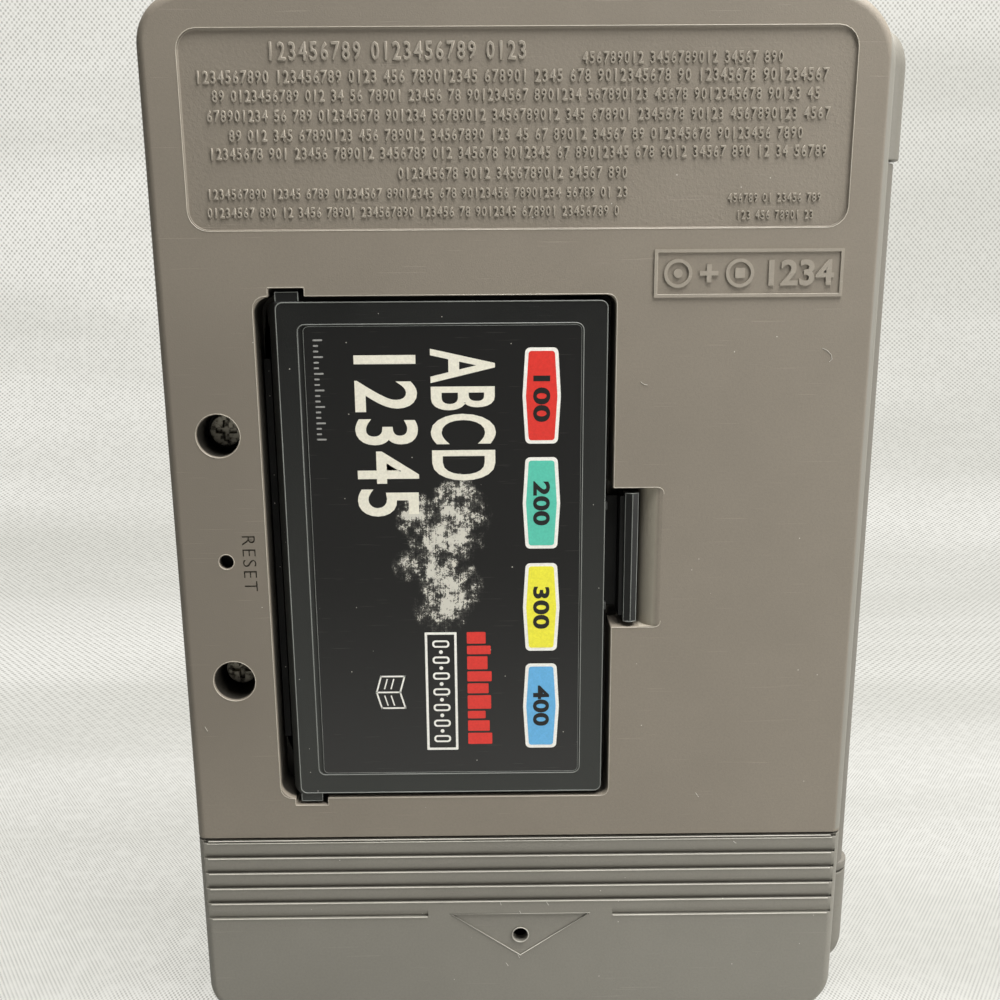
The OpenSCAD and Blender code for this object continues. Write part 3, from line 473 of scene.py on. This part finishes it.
finishes = {name: plastic(name, look) for name, look in plastics.items()}
finishes.update({name: ink(name, colour) for name, colour in inks.items()})
finishes["label"] = labelFinish()
finishes["steel"] = sheetMetal("steel", (0.56, 0.55, 0.53), 0.3, 0.2)
finishes["screw"] = sheetMetal("screw", (0.46, 0.43, 0.36), 0.5, 0.8)
finishes["cells"] = sheetMetal("cells", (0.60, 0.60, 0.60), 0.28, 0.12)
finishes["gold"] = sheetMetal("gold", (0.80, 0.58, 0.25), 0.25, 0.15)
finishes["contacts"] = sheetMetal("contacts", (0.62, 0.58, 0.50), 0.3, 0.2)
finishes["lens"] = clearWindow()
finishes["lcd"] = liquidCrystal()
finishes["board"] = circuitBoard()
backdrop.data.materials.append(cloth("cloth"))

for cadNode in nodes.values():
    for i, made in enumerate(cadNode.data.materials):
        cadNode.data.materials[i] = finishes[made.name.split(".")[0]]
print("finishes made:", len(finishes))


# Soft-edged copies of the moulded pieces

edges = {
    "rear_case": 0.16, "battery_door": 0.07, "lid": 0.2, "front_case": 0.15, "card_front_shell": 0.1,
    "card_back_shell": 0.12, "card_latch": 0.08, "card_socket": 0.08, "case_screws": 0.09,
}


# The scoop's gentle upper end, too shallow for a rounded edge: its corners in millimetres
shallowRim = ((14.6, -9.0, 54.0), (17.6, -6.5, 73.0))


def link(name, mesh, finish, body):
    piece = bpy.data.objects.new(name, mesh)
    scene.collection.objects.link(piece)
    if finish:
        mesh.materials.clear()
        mesh.materials.append(finishes[finish])
    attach(piece, body)
    return piece


def bakeModifiers(piece):
    # Turns what the modifiers make into the piece's own mesh
    bpy.context.view_layer.update()
    seen = piece.evaluated_get(bpy.context.evaluated_depsgraph_get())
    mesh = bpy.data.meshes.new_from_object(seen)
    piece.modifiers.clear()
    piece.data = mesh


def softCopy(name, edge, cutter=None):
    source = nodes[name]
    mesh = source.data.copy()
    shell = bmesh.new()
    shell.from_mesh(mesh)
    bmesh.ops.remove_doubles(shell, verts=shell.verts, dist=0.001 * mm)
    bmesh.ops.dissolve_limit(shell, angle_limit=radians(0.6), verts=shell.verts, edges=shell.edges)
    chosen = shell.edges.layers.float.new("bevel_weight_edge")
    for side in shell.edges:
        middle = (side.verts[0].co + side.verts[1].co) / 2
        shallow = name == "rear_case" and all(a * mm < v < b * mm for a, v, b in zip(shallowRim[0], middle, shallowRim[1]))
        if side.calc_face_angle(0) > radians(32) and not shallow:
            side[chosen] = 1
    shell.to_mesh(mesh)
    shell.free()
    piece = link(name + "_soft", mesh, None, source["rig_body"])
    bevel = piece.modifiers.new("edges", "BEVEL")
    bevel.width = edge * mm
    bevel.segments = 2
    bevel.limit_method = "WEIGHT"
    bevel.use_clamp_overlap = False
    bevel.harden_normals = False
    if cutter:
        cut = piece.modifiers.new("letters", "BOOLEAN")
        cut.operation = "DIFFERENCE"
        cut.object = cutter
        cut.solver = "EXACT"
    bakeModifiers(piece)
    piece.data.shade_smooth()
    piece.data.set_sharp_from_angle(angle=radians(40))
    even = piece.modifiers.new("normals", "WEIGHTED_NORMAL")
    even.keep_sharp = True
    bakeModifiers(piece)
    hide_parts(name)
    return piece


# Flat drawings: words, outlines and rings laid on a surface

def laid(mesh, way, x, up, y):
    # Puts a flat mesh on the back or the keys; x and up are in millimetres there, and y is the surface
    right, above, out = way
    turn = Matrix((right, above, out)).transposed().to_4x4()
    mesh.transform(Matrix.Translation((x * mm, y, middleZ + up * mm)) @ turn)


def wordMesh(text, height, squeeze=1.0, weight=0.0, thick=0.01, spacing=1.0, rounding=0.0):
    # With a rounding, the section is a low ridge whose middle lies on the surface
    curve = bpy.data.curves.new("word", "FONT")
    curve.body = text
    curve.align_x = "CENTER"
    curve.offset = weight
    curve.extrude = 0.0 if rounding else 0.5
    curve.bevel_depth = rounding
    curve.bevel_resolution = 0
    curve.resolution_u = 2 if rounding else 5
    curve.space_character = spacing
    holder = bpy.data.objects.new("word", curve)
    scene.collection.objects.link(holder)
    bpy.context.view_layer.update()
    seen = holder.evaluated_get(bpy.context.evaluated_depsgraph_get())
    mesh = bpy.data.meshes.new_from_object(seen)
    bpy.data.objects.remove(holder)
    bpy.data.curves.remove(curve)
    low = min(v.co.y for v in mesh.vertices)
    high = max(v.co.y for v in mesh.vertices)
    size = height * mm / (high - low)
    mesh.transform(Matrix.Translation((0, -(low + high) / 2, 0.0 if rounding else 0.5)))
    mesh.transform(Matrix.Diagonal((size * squeeze, size, thick * mm / (rounding or 1), 1)))
    return mesh


def merged(meshes):
    # One closed mesh out of several
    whole = bmesh.new()
    for mesh in meshes:
        whole.from_mesh(mesh)
        bpy.data.meshes.remove(mesh)
    bmesh.ops.remove_doubles(whole, verts=whole.verts, dist=0.0005 * mm)
    result = bpy.data.meshes.new("drawing")
    whole.to_mesh(result)
    whole.free()
    return result


def plate(outline, thick, inner=None):
    # A flat plate, or a flat ring between two outlines with as many points
    shape = bmesh.new()
    n = len(outline)
    loops = [[shape.verts.new((x * mm, y * mm, z * mm)) for x, y in path]
             for z in (0, thick) for path in ([outline] if inner is None else [outline, inner])]
    if inner is None:
        shape.faces.new(loops[0][::-1])
        shape.faces.new(loops[1])
        pairs = [(loops[0], loops[1])]
    else:
        pairs = [(loops[1], loops[0]), (loops[0], loops[2]), (loops[2], loops[3]), (loops[3], loops[1])]
    for a, b in pairs:
        for i in range(n):
            j = (i + 1) % n
            shape.faces.new((a[i], a[j], b[j], b[i]))
    bmesh.ops.recalc_face_normals(shape, faces=shape.faces)
    mesh = bpy.data.meshes.new("plate")
    shape.to_mesh(mesh)
    shape.free()
    return mesh


def roundedBox(w, h, r, x=0, y=0, bulge=0, steps=5):
    # A box with round corners; bulge pushes the middle of its long sides out
    points = []
    for cx, cy, start in ((1, 1, 0), (-1, 1, 90), (-1, -1, 180), (1, -1, 270)):
        for i in range(steps + 1):
            a = radians(start + 90 * i / steps)
            points.append((x + cx * (w / 2 - r) + r * cos(a), y + cy * (h / 2 - r) + r * sin(a)))
        if cy == 1 and cx == 1 and bulge:
            points.append((x, y + h / 2 + bulge))
        if cx == -1 and cy == -1 and bulge:
            points.append((x, y - h / 2 - bulge))
    return points


def circle(r, x=0, y=0, n=32):
    return [(x + r * cos(2 * pi * i / n), y + r * sin(2 * pi * i / n)) for i in range(n)]


def stroke(path, width, thick):
    # A line of even width through the points, as one plate for each stretch
    parts = []
    for (x0, y0), (x1, y1) in zip(path, path[1:]):
        along = Vector((x1 - x0, y1 - y0)).normalized() * width / 2
        side = Vector((-along.y, along.x))
        a = Vector((x0, y0)) - along
        b = Vector((x1, y1)) + along
        parts.append(plate([tuple(a + side), tuple(a - side), tuple(b - side), tuple(b + side)], thick))
    return parts


# The case, with its word for the reset hole cut in

resetWord = {"text": "RESET", "height": 1.6, "length": 6.9, "x": -32.36, "up": -0.18, "depth": 0.14}


def resetLetters(thick):
    mesh = wordMesh(resetWord["text"], resetWord["height"], 1.0, -0.008, thick, 1.2)
    wide = max(v.co.x for v in mesh.vertices) - min(v.co.x for v in mesh.vertices)
    mesh.transform(Matrix.Diagonal((resetWord["length"] * mm / wide, 1, 1, 1)))
    laid(mesh, onBackTurned, resetWord["x"], resetWord["up"], backY + resetWord["depth"] * mm)
    return merged([mesh])


letters = bpy.data.objects.new("letters", resetLetters(1.0))
scene.collection.objects.link(letters)
# The cut word's floor is painted near-black, standing in for the shade inside the cut
link("reset_word", resetLetters(0.04), "grimeAndShade", "body")
for name, edge in edges.items():
    softCopy(name, edge, letters if name == "rear_case" else None)
bpy.data.objects.remove(letters)
for name in list(nodes):
    if name.startswith("key_") and name != "key_mat":
        softCopy(name, 0.14)
print("soft-edged pieces made")


# Embossed panel: rows of small counting figures in word-long groups

panel = {
    "depth": 0.25, "raise": 0.15, "seed": 11,
    # Middle height, left end, right end and height of the figures of each row
    "rows": [(57.2, -27.3, 1.4, 2.0), (56.4, 6.9, 29.4, 1.3), (54.6, -35.1, 35.1, 1.4),
             (52.65, -33.4, 33.8, 1.3), (50.6, -34.1, 34.3, 1.3), (48.55, -31.8, 32.1, 1.3),
             (46.65, -34.1, 34.4, 1.3), (44.5, -13.4, 12.2, 1.3), (42.4, -34.6, 12.5, 1.15),
             (41.7, 23.3, 34.3, 1.0), (40.4, -34.7, 11.8, 1.15), (39.85, 24.3, 33.2, 1.0)],
    "step": 0.58, "gap": 0.42, "shortest": 2, "longest": 10, "squeeze": 0.72,
}


def markPoints():
    # One point for each figure, with its height and which figure it is
    pick = random.Random(panel["seed"])
    points, sizes, which = [], [], []
    count = 1
    for up, left, right, height in panel["rows"]:
        step = panel["step"] * height
        x = left + step / 2
        while x < right:
            for i in range(pick.randint(panel["shortest"], panel["longest"])):
                if x > right - step / 2:
                    break
                points.append((x * mm, backY + panel["depth"] * mm, middleZ + up * mm))
                sizes.append(height)
                which.append(count % 10)
                count += 1
                x += step
            x += panel["gap"] * height
    return points, sizes, which


def figureMeshes():
    # The ten figures, a millimetre high, each in its own object of one collection
    store = bpy.data.collections.new("figures")
    scene.collection.children.link(store)
    right, above, out = onBack
    turn = Matrix((right, above, out)).transposed().to_4x4()
    for i in range(10):
        mesh = wordMesh(str(i), 1.0, panel["squeeze"], 0.0, panel["raise"], rounding=0.035)
        mesh.transform(turn)
        store.objects.link(bpy.data.objects.new("figure_" + str(i), merged([mesh])))
    return store


def markTree():
    tree = bpy.data.node_groups.new("smallFigures", "GeometryNodeTree")
    face = tree.interface
    face.new_socket("Geometry", in_out="INPUT", socket_type="NodeSocketGeometry")
    face.new_socket("Figures", in_out="INPUT", socket_type="NodeSocketCollection")
    face.new_socket("Finish", in_out="INPUT", socket_type="NodeSocketMaterial")
    face.new_socket("Geometry", in_out="OUTPUT", socket_type="NodeSocketGeometry")
    start = tree.nodes.new("NodeGroupInput").outputs
    end = tree.nodes.new("NodeGroupOutput")
    values = {"Collection": start["Figures"], "Separate Children": True, "Reset Children": True}
    kinds = node(tree, "GeometryNodeCollectionInfo", values).outputs[0]
    spots = node(tree, "GeometryNodeMeshToPoints", {"Mesh": start["Geometry"]}).outputs[0]
    size = node(tree, "GeometryNodeInputNamedAttribute", {"Name": "size"}, data_type="FLOAT").outputs[0]
    which = node(tree, "GeometryNodeInputNamedAttribute", {"Name": "which"}, data_type="INT").outputs[0]
    placed = node(tree, "GeometryNodeInstanceOnPoints", {
        "Points": spots, "Instance": kinds, "Pick Instance": True, "Instance Index": which,
        "Scale": node(tree, "ShaderNodeCombineXYZ", {"X": size, "Y": 1.0, "Z": size}).outputs[0],
    })
    real = node(tree, "GeometryNodeRealizeInstances", {"Geometry": placed.outputs[0]})
    coated = node(tree, "GeometryNodeSetMaterial", {"Geometry": real.outputs[0], "Material": start["Finish"]})
    tree.links.new(coated.outputs[0], end.inputs[0])
    return tree


def setInputs(modifier, values):
    ids = {s.name: s.identifier for s in modifier.node_group.interface.items_tree if s.in_out == "INPUT"}
    for name, value in values.items():
        modifier[ids[name]] = value


def makeMarks():
    points, sizes, which = markPoints()
    store = figureMeshes()
    mesh = bpy.data.meshes.new("marks")
    mesh.from_pydata(points, [], [])
    mesh.attributes.new("size", "FLOAT", "POINT").data.foreach_set("value", sizes)
    mesh.attributes.new("which", "INT", "POINT").data.foreach_set("value", which)
    piece = bpy.data.objects.new("panel_marks", mesh)
    scene.collection.objects.link(piece)
    grow = piece.modifiers.new("marks", "NODES")
    grow.node_group = markTree()
    setInputs(grow, {"Figures": store, "Finish": finishes["raisedCaseHighlight"]})
    bakeModifiers(piece)
    for figure in list(store.objects):
        bpy.data.objects.remove(figure)
    bpy.data.collections.remove(store)
    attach(piece, "body")
    print("panel figures:", len(points), "triangles:", sum(len(f.vertices) - 2 for f in piece.data.polygons))


makeMarks()


# Small framed plate beside the panel, with plain signs

signs = {"x": 26.02, "up": 33.5, "w": 21.4, "h": 5.35, "line": 0.34, "raise": 0.16}


def makeSigns():
    line, high = signs["line"], signs["raise"] + 0.05
    outer = roundedBox(signs["w"], signs["h"], 0.15)
    inner = roundedBox(signs["w"] - 2 * line, signs["h"] - 2 * line, 0.1)
    parts = [plate(outer, high, inner)]
    for x, r in ((-8.0, 1.6), (-1.0, 1.6)):
        parts.append(plate(circle(r, x), high, circle(r - 0.38, x)))
    parts.append(plate(circle(0.5, -8.0), high))
    parts.append(plate(roundedBox(1.1, 1.1, 0.1, -1.0), high))
    for text, size, x, wide in (("+", 2.0, -4.5, 2.1), ("1234", 2.9, 5.6, 7.4)):
        word = wordMesh(text, size, 1.0, 0.025, high)
        full = max(v.co.x for v in word.vertices) - min(v.co.x for v in word.vertices)
        word.transform(Matrix.Translation((x * mm, 0, 0)) @ Matrix.Diagonal((wide * mm / full, 1, 1, 1)))
        parts.append(word)
    mesh = merged(parts)
    laid(mesh, onBack, signs["x"], signs["up"], backY + 0.05 * mm)
    link("sign_plate", mesh, "raisedCaseHighlight", "body")


makeSigns()
print("sign plate made")


# Painted highlights: thin light-coloured beads along the moulded edges where they catch the light, and a few stray
# fibres

def softPath(corners, steps=4):
    # A closed path whose corners are rounded; each is x, up and radius
    path = []
    for i, (x, y, r) in enumerate(corners):
        here = Vector((x, y))
        before = here + (Vector(corners[i - 1][:2]) - here).normalized() * r
        after = here + (Vector(corners[(i + 1) % len(corners)][:2]) - here).normalized() * r
        for k in range(steps + 1 if r else 1):
            t = k / steps
            path.append(tuple(before * (1 - t) ** 2 + here * 2 * t * (1 - t) + after * t * t))
    return path


bayRim = [(17.17, 8.75, 0.85), (11.22, 8.75, 0.1), (11.22, 31.3, 1.2), (-24.28, 31.3, 0), (-24.28, 32.25, 0.15),
          (-28.48, 32.25, 0.15), (-28.48, 31.3, 0), (-30.28, 31.3, 1.75)]
bayRim += [(x, -y, r) for x, y, r in reversed(bayRim)]
grooves = {"first": -37.54, "pitch": 2.19, "count": 6, "end": 40.1, "gap": 12.1}


def grooveRims():
    lines = [(False, 0, [(-39.9, -37.2), (39.9, -37.2)])]
    for i in range(grooves["count"]):
        y = grooves["first"] - i * grooves["pitch"]
        end, gap = grooves["end"], grooves["gap"]
        spans = [(-end, end)] if i < grooves["count"] - 1 else [(-end, -gap), (gap, end)]
        lines += [(False, 0, [(a, y), (b, y)]) for a, b in spans]
    return lines


def tabRims():
    return [(False, 0.2, [(-27.68, s * 30.7), (-27.68, s * 31.72), (-25.08, s * 31.72), (-25.08, s * 30.7)])
            for s in (-1, 1)]


# Width, node ridden with, slot, finish, what the depth is counted from, and lines: closed, depth, points
rims = {
    "case_rims": (0.11, "rear_case", "case", "rimHighlightCase", "rear_case", [
        (False, 0.02, softPath(bayRim)), (True, 0.02, roundedBox(73.7, 21.16, 2.25, 0, 49.0)),
        (True, -0.1, roundedBox(21.3, 5.25, 0.15, 26.02, 33.5)), (True, -0.1, roundedBox(20.75, 4.7, 0.1, 26.02, 33.5)),
        (True, 0.02, circle(2.62, -35.15, 15.3)), (True, 0.02, circle(2.62, -35.15, -15.3)),
        (True, 0.02, circle(0.95, -35.15, 0, 16))]),
    "door_rims": (0.16, "battery_door", "case", "rimHighlightDoor", "battery_door", grooveRims() + [
        (True, 0.0, [(-9.05, -48.08), (9.05, -48.08), (0, -54.28)]), (True, 0.01, circle(1.07, 0, -51.25, 20))]),
    "card_rims": (0.15, "card_back_shell", "card", "rimHighlightBlack", "card_back_shell", [
        (True, 0.02, roundedBox(37.85, 61.1, 0.8, -8.755)), (True, 0.03, roundedBox(32.8, 56.15, 0.85, -8.93))] + tabRims()),
    "label_rim": (0.07, "card_label", "label", "rimHighlightBlack", "card_label", [
        (True, 0.015, roundedBox(31.9, 55.7, 0.6, -8.705))]),
    "latch_rims": (0.13, "card_latch", "card", "rimHighlightBlack", "card_latch", [
        (True, 0, [(12.67, -8.0, 0.3), (12.67, 8.0, 0.3), (13.42, 8.0, 0), (14.18, 8.0, 0.35),
                   (14.18, -8.0, 0.35), (13.42, -8.0, 0)]),
        (False, 0, [(13.47, -7.9, 0), (13.47, 7.9, 0)])]),
    "lint": (0.05, "rear_case", "case", "lint", "rear_case", [
        (False, -0.03, [(34.9, 25.0), (35.5, 24.7), (36.0, 24.2), (36.1, 23.7), (35.8, 23.4)]),
        (False, -0.03, [(14.1, 21.3), (14.4, 21.0), (14.9, 20.9)]),
        (False, 1.9, [(15.0, 1.4), (15.3, 0.9), (15.35, 0.5), (15.7, 0.3)]),
        (False, -0.03, [(-39.2, -21.3), (-38.9, -21.9)]), (False, -0.03, [(22.3, -31.0), (22.7, -31.6)])]),
    "door_lint": (0.055, "battery_door", "case", "lint", "battery_door", [
        (False, -0.03, [(-0.4, -54.0), (-0.1, -54.7)]), (False, -0.03, [(-1.9, -55.4), (-1.6, -55.9)]),
        (False, -0.03, [(-2.6, -46.3), (-2.5, -46.8)]), (False, -0.03, [(3.4, -46.4), (3.7, -46.9)]),
        (False, -0.03, [(-0.1, -47.7), (0.1, -48.1)]), (False, -0.03, [(27.4, -37.9), (27.8, -38.2)])]),
}


def beadTree():
    tree = bpy.data.node_groups.new("rimBead", "GeometryNodeTree")
    face = tree.interface
    face.new_socket("Geometry", in_out="INPUT", socket_type="NodeSocketGeometry")
    face.new_socket("Width", in_out="INPUT", socket_type="NodeSocketFloat")
    face.new_socket("Finish", in_out="INPUT", socket_type="NodeSocketMaterial")
    face.new_socket("Geometry", in_out="OUTPUT", socket_type="NodeSocketGeometry")
    start = tree.nodes.new("NodeGroupInput").outputs
    end = tree.nodes.new("NodeGroupOutput")
    half = maths(tree, "MULTIPLY", start["Width"], 0.5)
    band = node(tree, "GeometryNodeCurvePrimitiveCircle", {"Resolution": 6, "Radius": half}).outputs["Curve"]
    line = node(tree, "GeometryNodeMeshToCurve", {"Mesh": start["Geometry"]}).outputs[0]
    values = {"Curve": line, "Profile Curve": band, "Fill Caps": True}
    bead = node(tree, "GeometryNodeCurveToMesh", values).outputs[0]
    real = node(tree, "GeometryNodeRealizeInstances", {"Geometry": bead}).outputs[0]
    coated = node(tree, "GeometryNodeSetMaterial", {"Geometry": real, "Material": start["Finish"]})
    tree.links.new(coated.outputs[0], end.inputs[0])
    return tree


def makeRims():
    tree = beadTree()
    for name, (width, rider, slot, finish, level, lines) in rims.items():
        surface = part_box(level)[0].y
        points, joins = [], []
        for closed, depth, path in lines:
            first = len(points)
            for point in path:
                deep = point[2] if len(point) > 2 else depth
                points.append((point[0] * mm, surface + deep * mm, middleZ + point[1] * mm))
            joins += [(i, i + 1) for i in range(first, len(points) - 1)]
            if closed:
                joins.append((len(points) - 1, first))
        mesh = bpy.data.meshes.new(name)
        mesh.from_pydata(points, joins, [])
        piece = bpy.data.objects.new(name, mesh)
        scene.collection.objects.link(piece)
        grow = piece.modifiers.new("bead", "NODES")
        grow.node_group = tree
        setInputs(grow, {"Width": width * mm, "Finish": finishes[finish]})
        bakeModifiers(piece)
        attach(piece, nodes[rider]["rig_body"])


makeRims()
# The rims are painted highlights
print("worn rims made:", len(rims))


# Print on the card's label

printing = {
    "boxes": [("inkRed", 19.7, 11.2), ("inkTeal", 6.9, 11.15), ("inkYellow", -6.1, 11.2), ("inkBlue", -19.0, 11.25)],
    "boxX": 2.65, "boxW": 3.85, "bulge": 0.3, "corner": 0.6, "border": 0.4, "layer": 0.008,
    "title": [("ABCD", -6.5, 17.35, 7.6, 15.5), ("12345", -15.45, 15.55, 7.3, 19.1)],
}


def onLabel(name, meshes, finish, level):
    mesh = merged(meshes)
    mesh.transform(Matrix.Translation((0, -level * printing["layer"] * mm, 0)))
    link(name, mesh, finish, "card")


def placedOnLabel(mesh, x, up):
    laid(mesh, onBackTurned, x, up, labelY)
    return mesh


def makeColourBoxes():
    layer = printing["layer"]
    borders, digits = [], []
    for i, (finish, up, length) in enumerate(printing["boxes"]):
        border = roundedBox(length, printing["boxW"], printing["corner"], bulge=printing["bulge"])
        borders.append(placedOnLabel(plate(border, layer), printing["boxX"], up))
        inside = 2 * printing["border"]
        fill = roundedBox(length - inside, printing["boxW"] - inside, 0.35, bulge=printing["bulge"])
        fill = placedOnLabel(plate(fill, layer), printing["boxX"], up)
        onLabel("print_box_" + str(i + 1), [fill], finish, 1)
        word = wordMesh(str(i + 1) + "00", 2.0, 1.0, 0.035, layer, 1.05)
        wide = max(v.co.x for v in word.vertices) - min(v.co.x for v in word.vertices)
        word.transform(Matrix.Diagonal((5.4 * mm / wide, 1, 1, 1)))
        digits.append(placedOnLabel(word, printing["boxX"], up))
    onLabel("print_borders", borders, "inkWhite", 0)
    onLabel("print_digits", digits, "inkBlack", 2)


def makeTitle():
    words = []
    for text, x, up, height, length in printing["title"]:
        word = wordMesh(text, height, 0.5, 0.016, printing["layer"], 1.08)
        wide = max(v.co.x for v in word.vertices) - min(v.co.x for v in word.vertices)
        word.transform(Matrix.Diagonal((length * mm / wide, 1, 1, 1)))
        words.append(placedOnLabel(word, x, up))
    onLabel("print_title", words, "inkCream", 0)


shelf = {
    # A row of book backs: width and height of each, standing on one line
    "books": [(1.5, 2.3), (1.1, 2.9), (1.7, 2.5), (1.3, 3.0), (1.3, 2.6), (1.8, 2.9), (1.0, 2.2), (1.4, 2.7), (1.5, 3.0)],
    "x": -6.45, "up": -9.2, "space": 0.28,
}


def makeShelf():
    layer = printing["layer"]
    backs, along = [], 0
    for w, h in shelf["books"]:
        back = plate(roundedBox(w, h, 0.12, w / 2 + along, h / 2), layer)
        backs.append(placedOnLabel(back, shelf["x"], shelf["up"]))
        along += w + shelf["space"]
    onLabel("print_shelf", backs, "inkRed", 0)


strip = {"x": -9.65, "up": -17.0, "w": 15.6, "h": 3.9, "line": 0.3, "count": 7}


def makeStrip():
    # A framed strip of small rings and dots
    layer = printing["layer"]
    outer = roundedBox(strip["w"], strip["h"], 0.1)
    hole = roundedBox(strip["w"] - 2 * strip["line"], strip["h"] - 2 * strip["line"], 0.08)
    parts = [plate(outer, layer, hole)]
    step = strip["w"] / strip["count"]
    for i in range(strip["count"]):
        x = (i - (strip["count"] - 1) / 2) * step * 0.94
        parts.append(plate(roundedBox(0.95, 2.1, 0.42, x), layer, roundedBox(0.5, 1.62, 0.22, x)))
        if i:
            parts.append(plate(circle(0.24, x - step * 0.47), layer))
    onLabel("print_strip", [placedOnLabel(p, strip["x"], strip["up"]) for p in parts], "inkWhite", 0)


def makeBook():
    # A small open book in thin lines
    line, layer = 0.2, printing["layer"]
    left = [(0, -1.5), (0, 1.4), (-2.1, 2.0), (-2.1, -0.9), (0, -1.5)]
    right = [(-x, y) for x, y in left]
    rule = [[(s * 0.5, y), (s * 1.7, y + 0.34)] for s in (-1, 1) for y in (-0.5, 0.3)]
    parts = stroke(left, line, layer) + stroke(right, line, layer)
    for path in rule:
        parts += stroke(path, line * 0.8, layer)
    onLabel("print_book", [placedOnLabel(p, -16.2, -17.0) for p in parts], "inkWhite", 0)


def makeTicks():
    # A short scale of ticks beside the title
    parts = []
    for i in range(19):
        long = 1.1 if i % 3 == 0 else 0.6
        mark = plate(roundedBox(0.2, long, 0.08, 0, long / 2), printing["layer"])
        parts.append(placedOnLabel(mark, -23.6, 26.3 - i * 0.64))
    onLabel("print_ticks", parts, "inkGrey", 0)


makeColourBoxes()
makeTitle()
makeShelf()
makeStrip()
makeBook()
makeTicks()
print("label printed")


# Words on the keys, and the dark border of the display window

legends = {"on_off": "ON/OFF", "clear": "CLEAR", "menu": "MENU", "enter": "ENTER", "space": "SPACE", "back": "BACK"}


def arrow(way):
    return plate([(-0.9, -0.6 * way), (0.9, -0.6 * way), (0, 0.9 * way)], 0.02)


def makeLegends():
    for name in nodes:
        key = name[4:]
        if not name.startswith("key_") or key in ("mat", "red", "green", "yellow", "blue"):
            continue
        low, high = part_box(name)
        if key in ("up", "down"):
            mesh = arrow(1 if key == "up" else -1)
        elif len(key) == 1:
            mesh = wordMesh(key.upper(), 2.6, 0.95, 0.0, 0.02)
        else:
            mesh = wordMesh(legends[key], 1.35, 0.95, 0.01, 0.02)
        x = (low.x + high.x) / 2 / mm
        up = ((low.z + high.z) / 2 - middleZ) / mm
        laid(mesh, onKeys, x, up, high.y - 0.002 * mm)
        link("legend_" + key, merged([mesh]), "inkWhite", nodes[name]["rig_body"])


makeLegends()
windowEdge = {"in": 2.6, "thick": 0.05}


def makeWindowBorder():
    low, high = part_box("display_lens")
    w = (high.x - low.x) / mm - 0.1
    h = (high.z - low.z) / mm - 0.1
    hole = (w - 2 * windowEdge["in"], h - 2 * windowEdge["in"])
    ring = plate(roundedBox(w, h, 1.8), windowEdge["thick"], roundedBox(*hole, 0.9))
    up = ((low.z + high.z) / 2 - middleZ) / mm
    laid(ring, onBack, (low.x + high.x) / 2 / mm, up, low.y)
    link("window_border", ring, "chips", "body")


makeWindowBorder()
print("key legends and window border made")
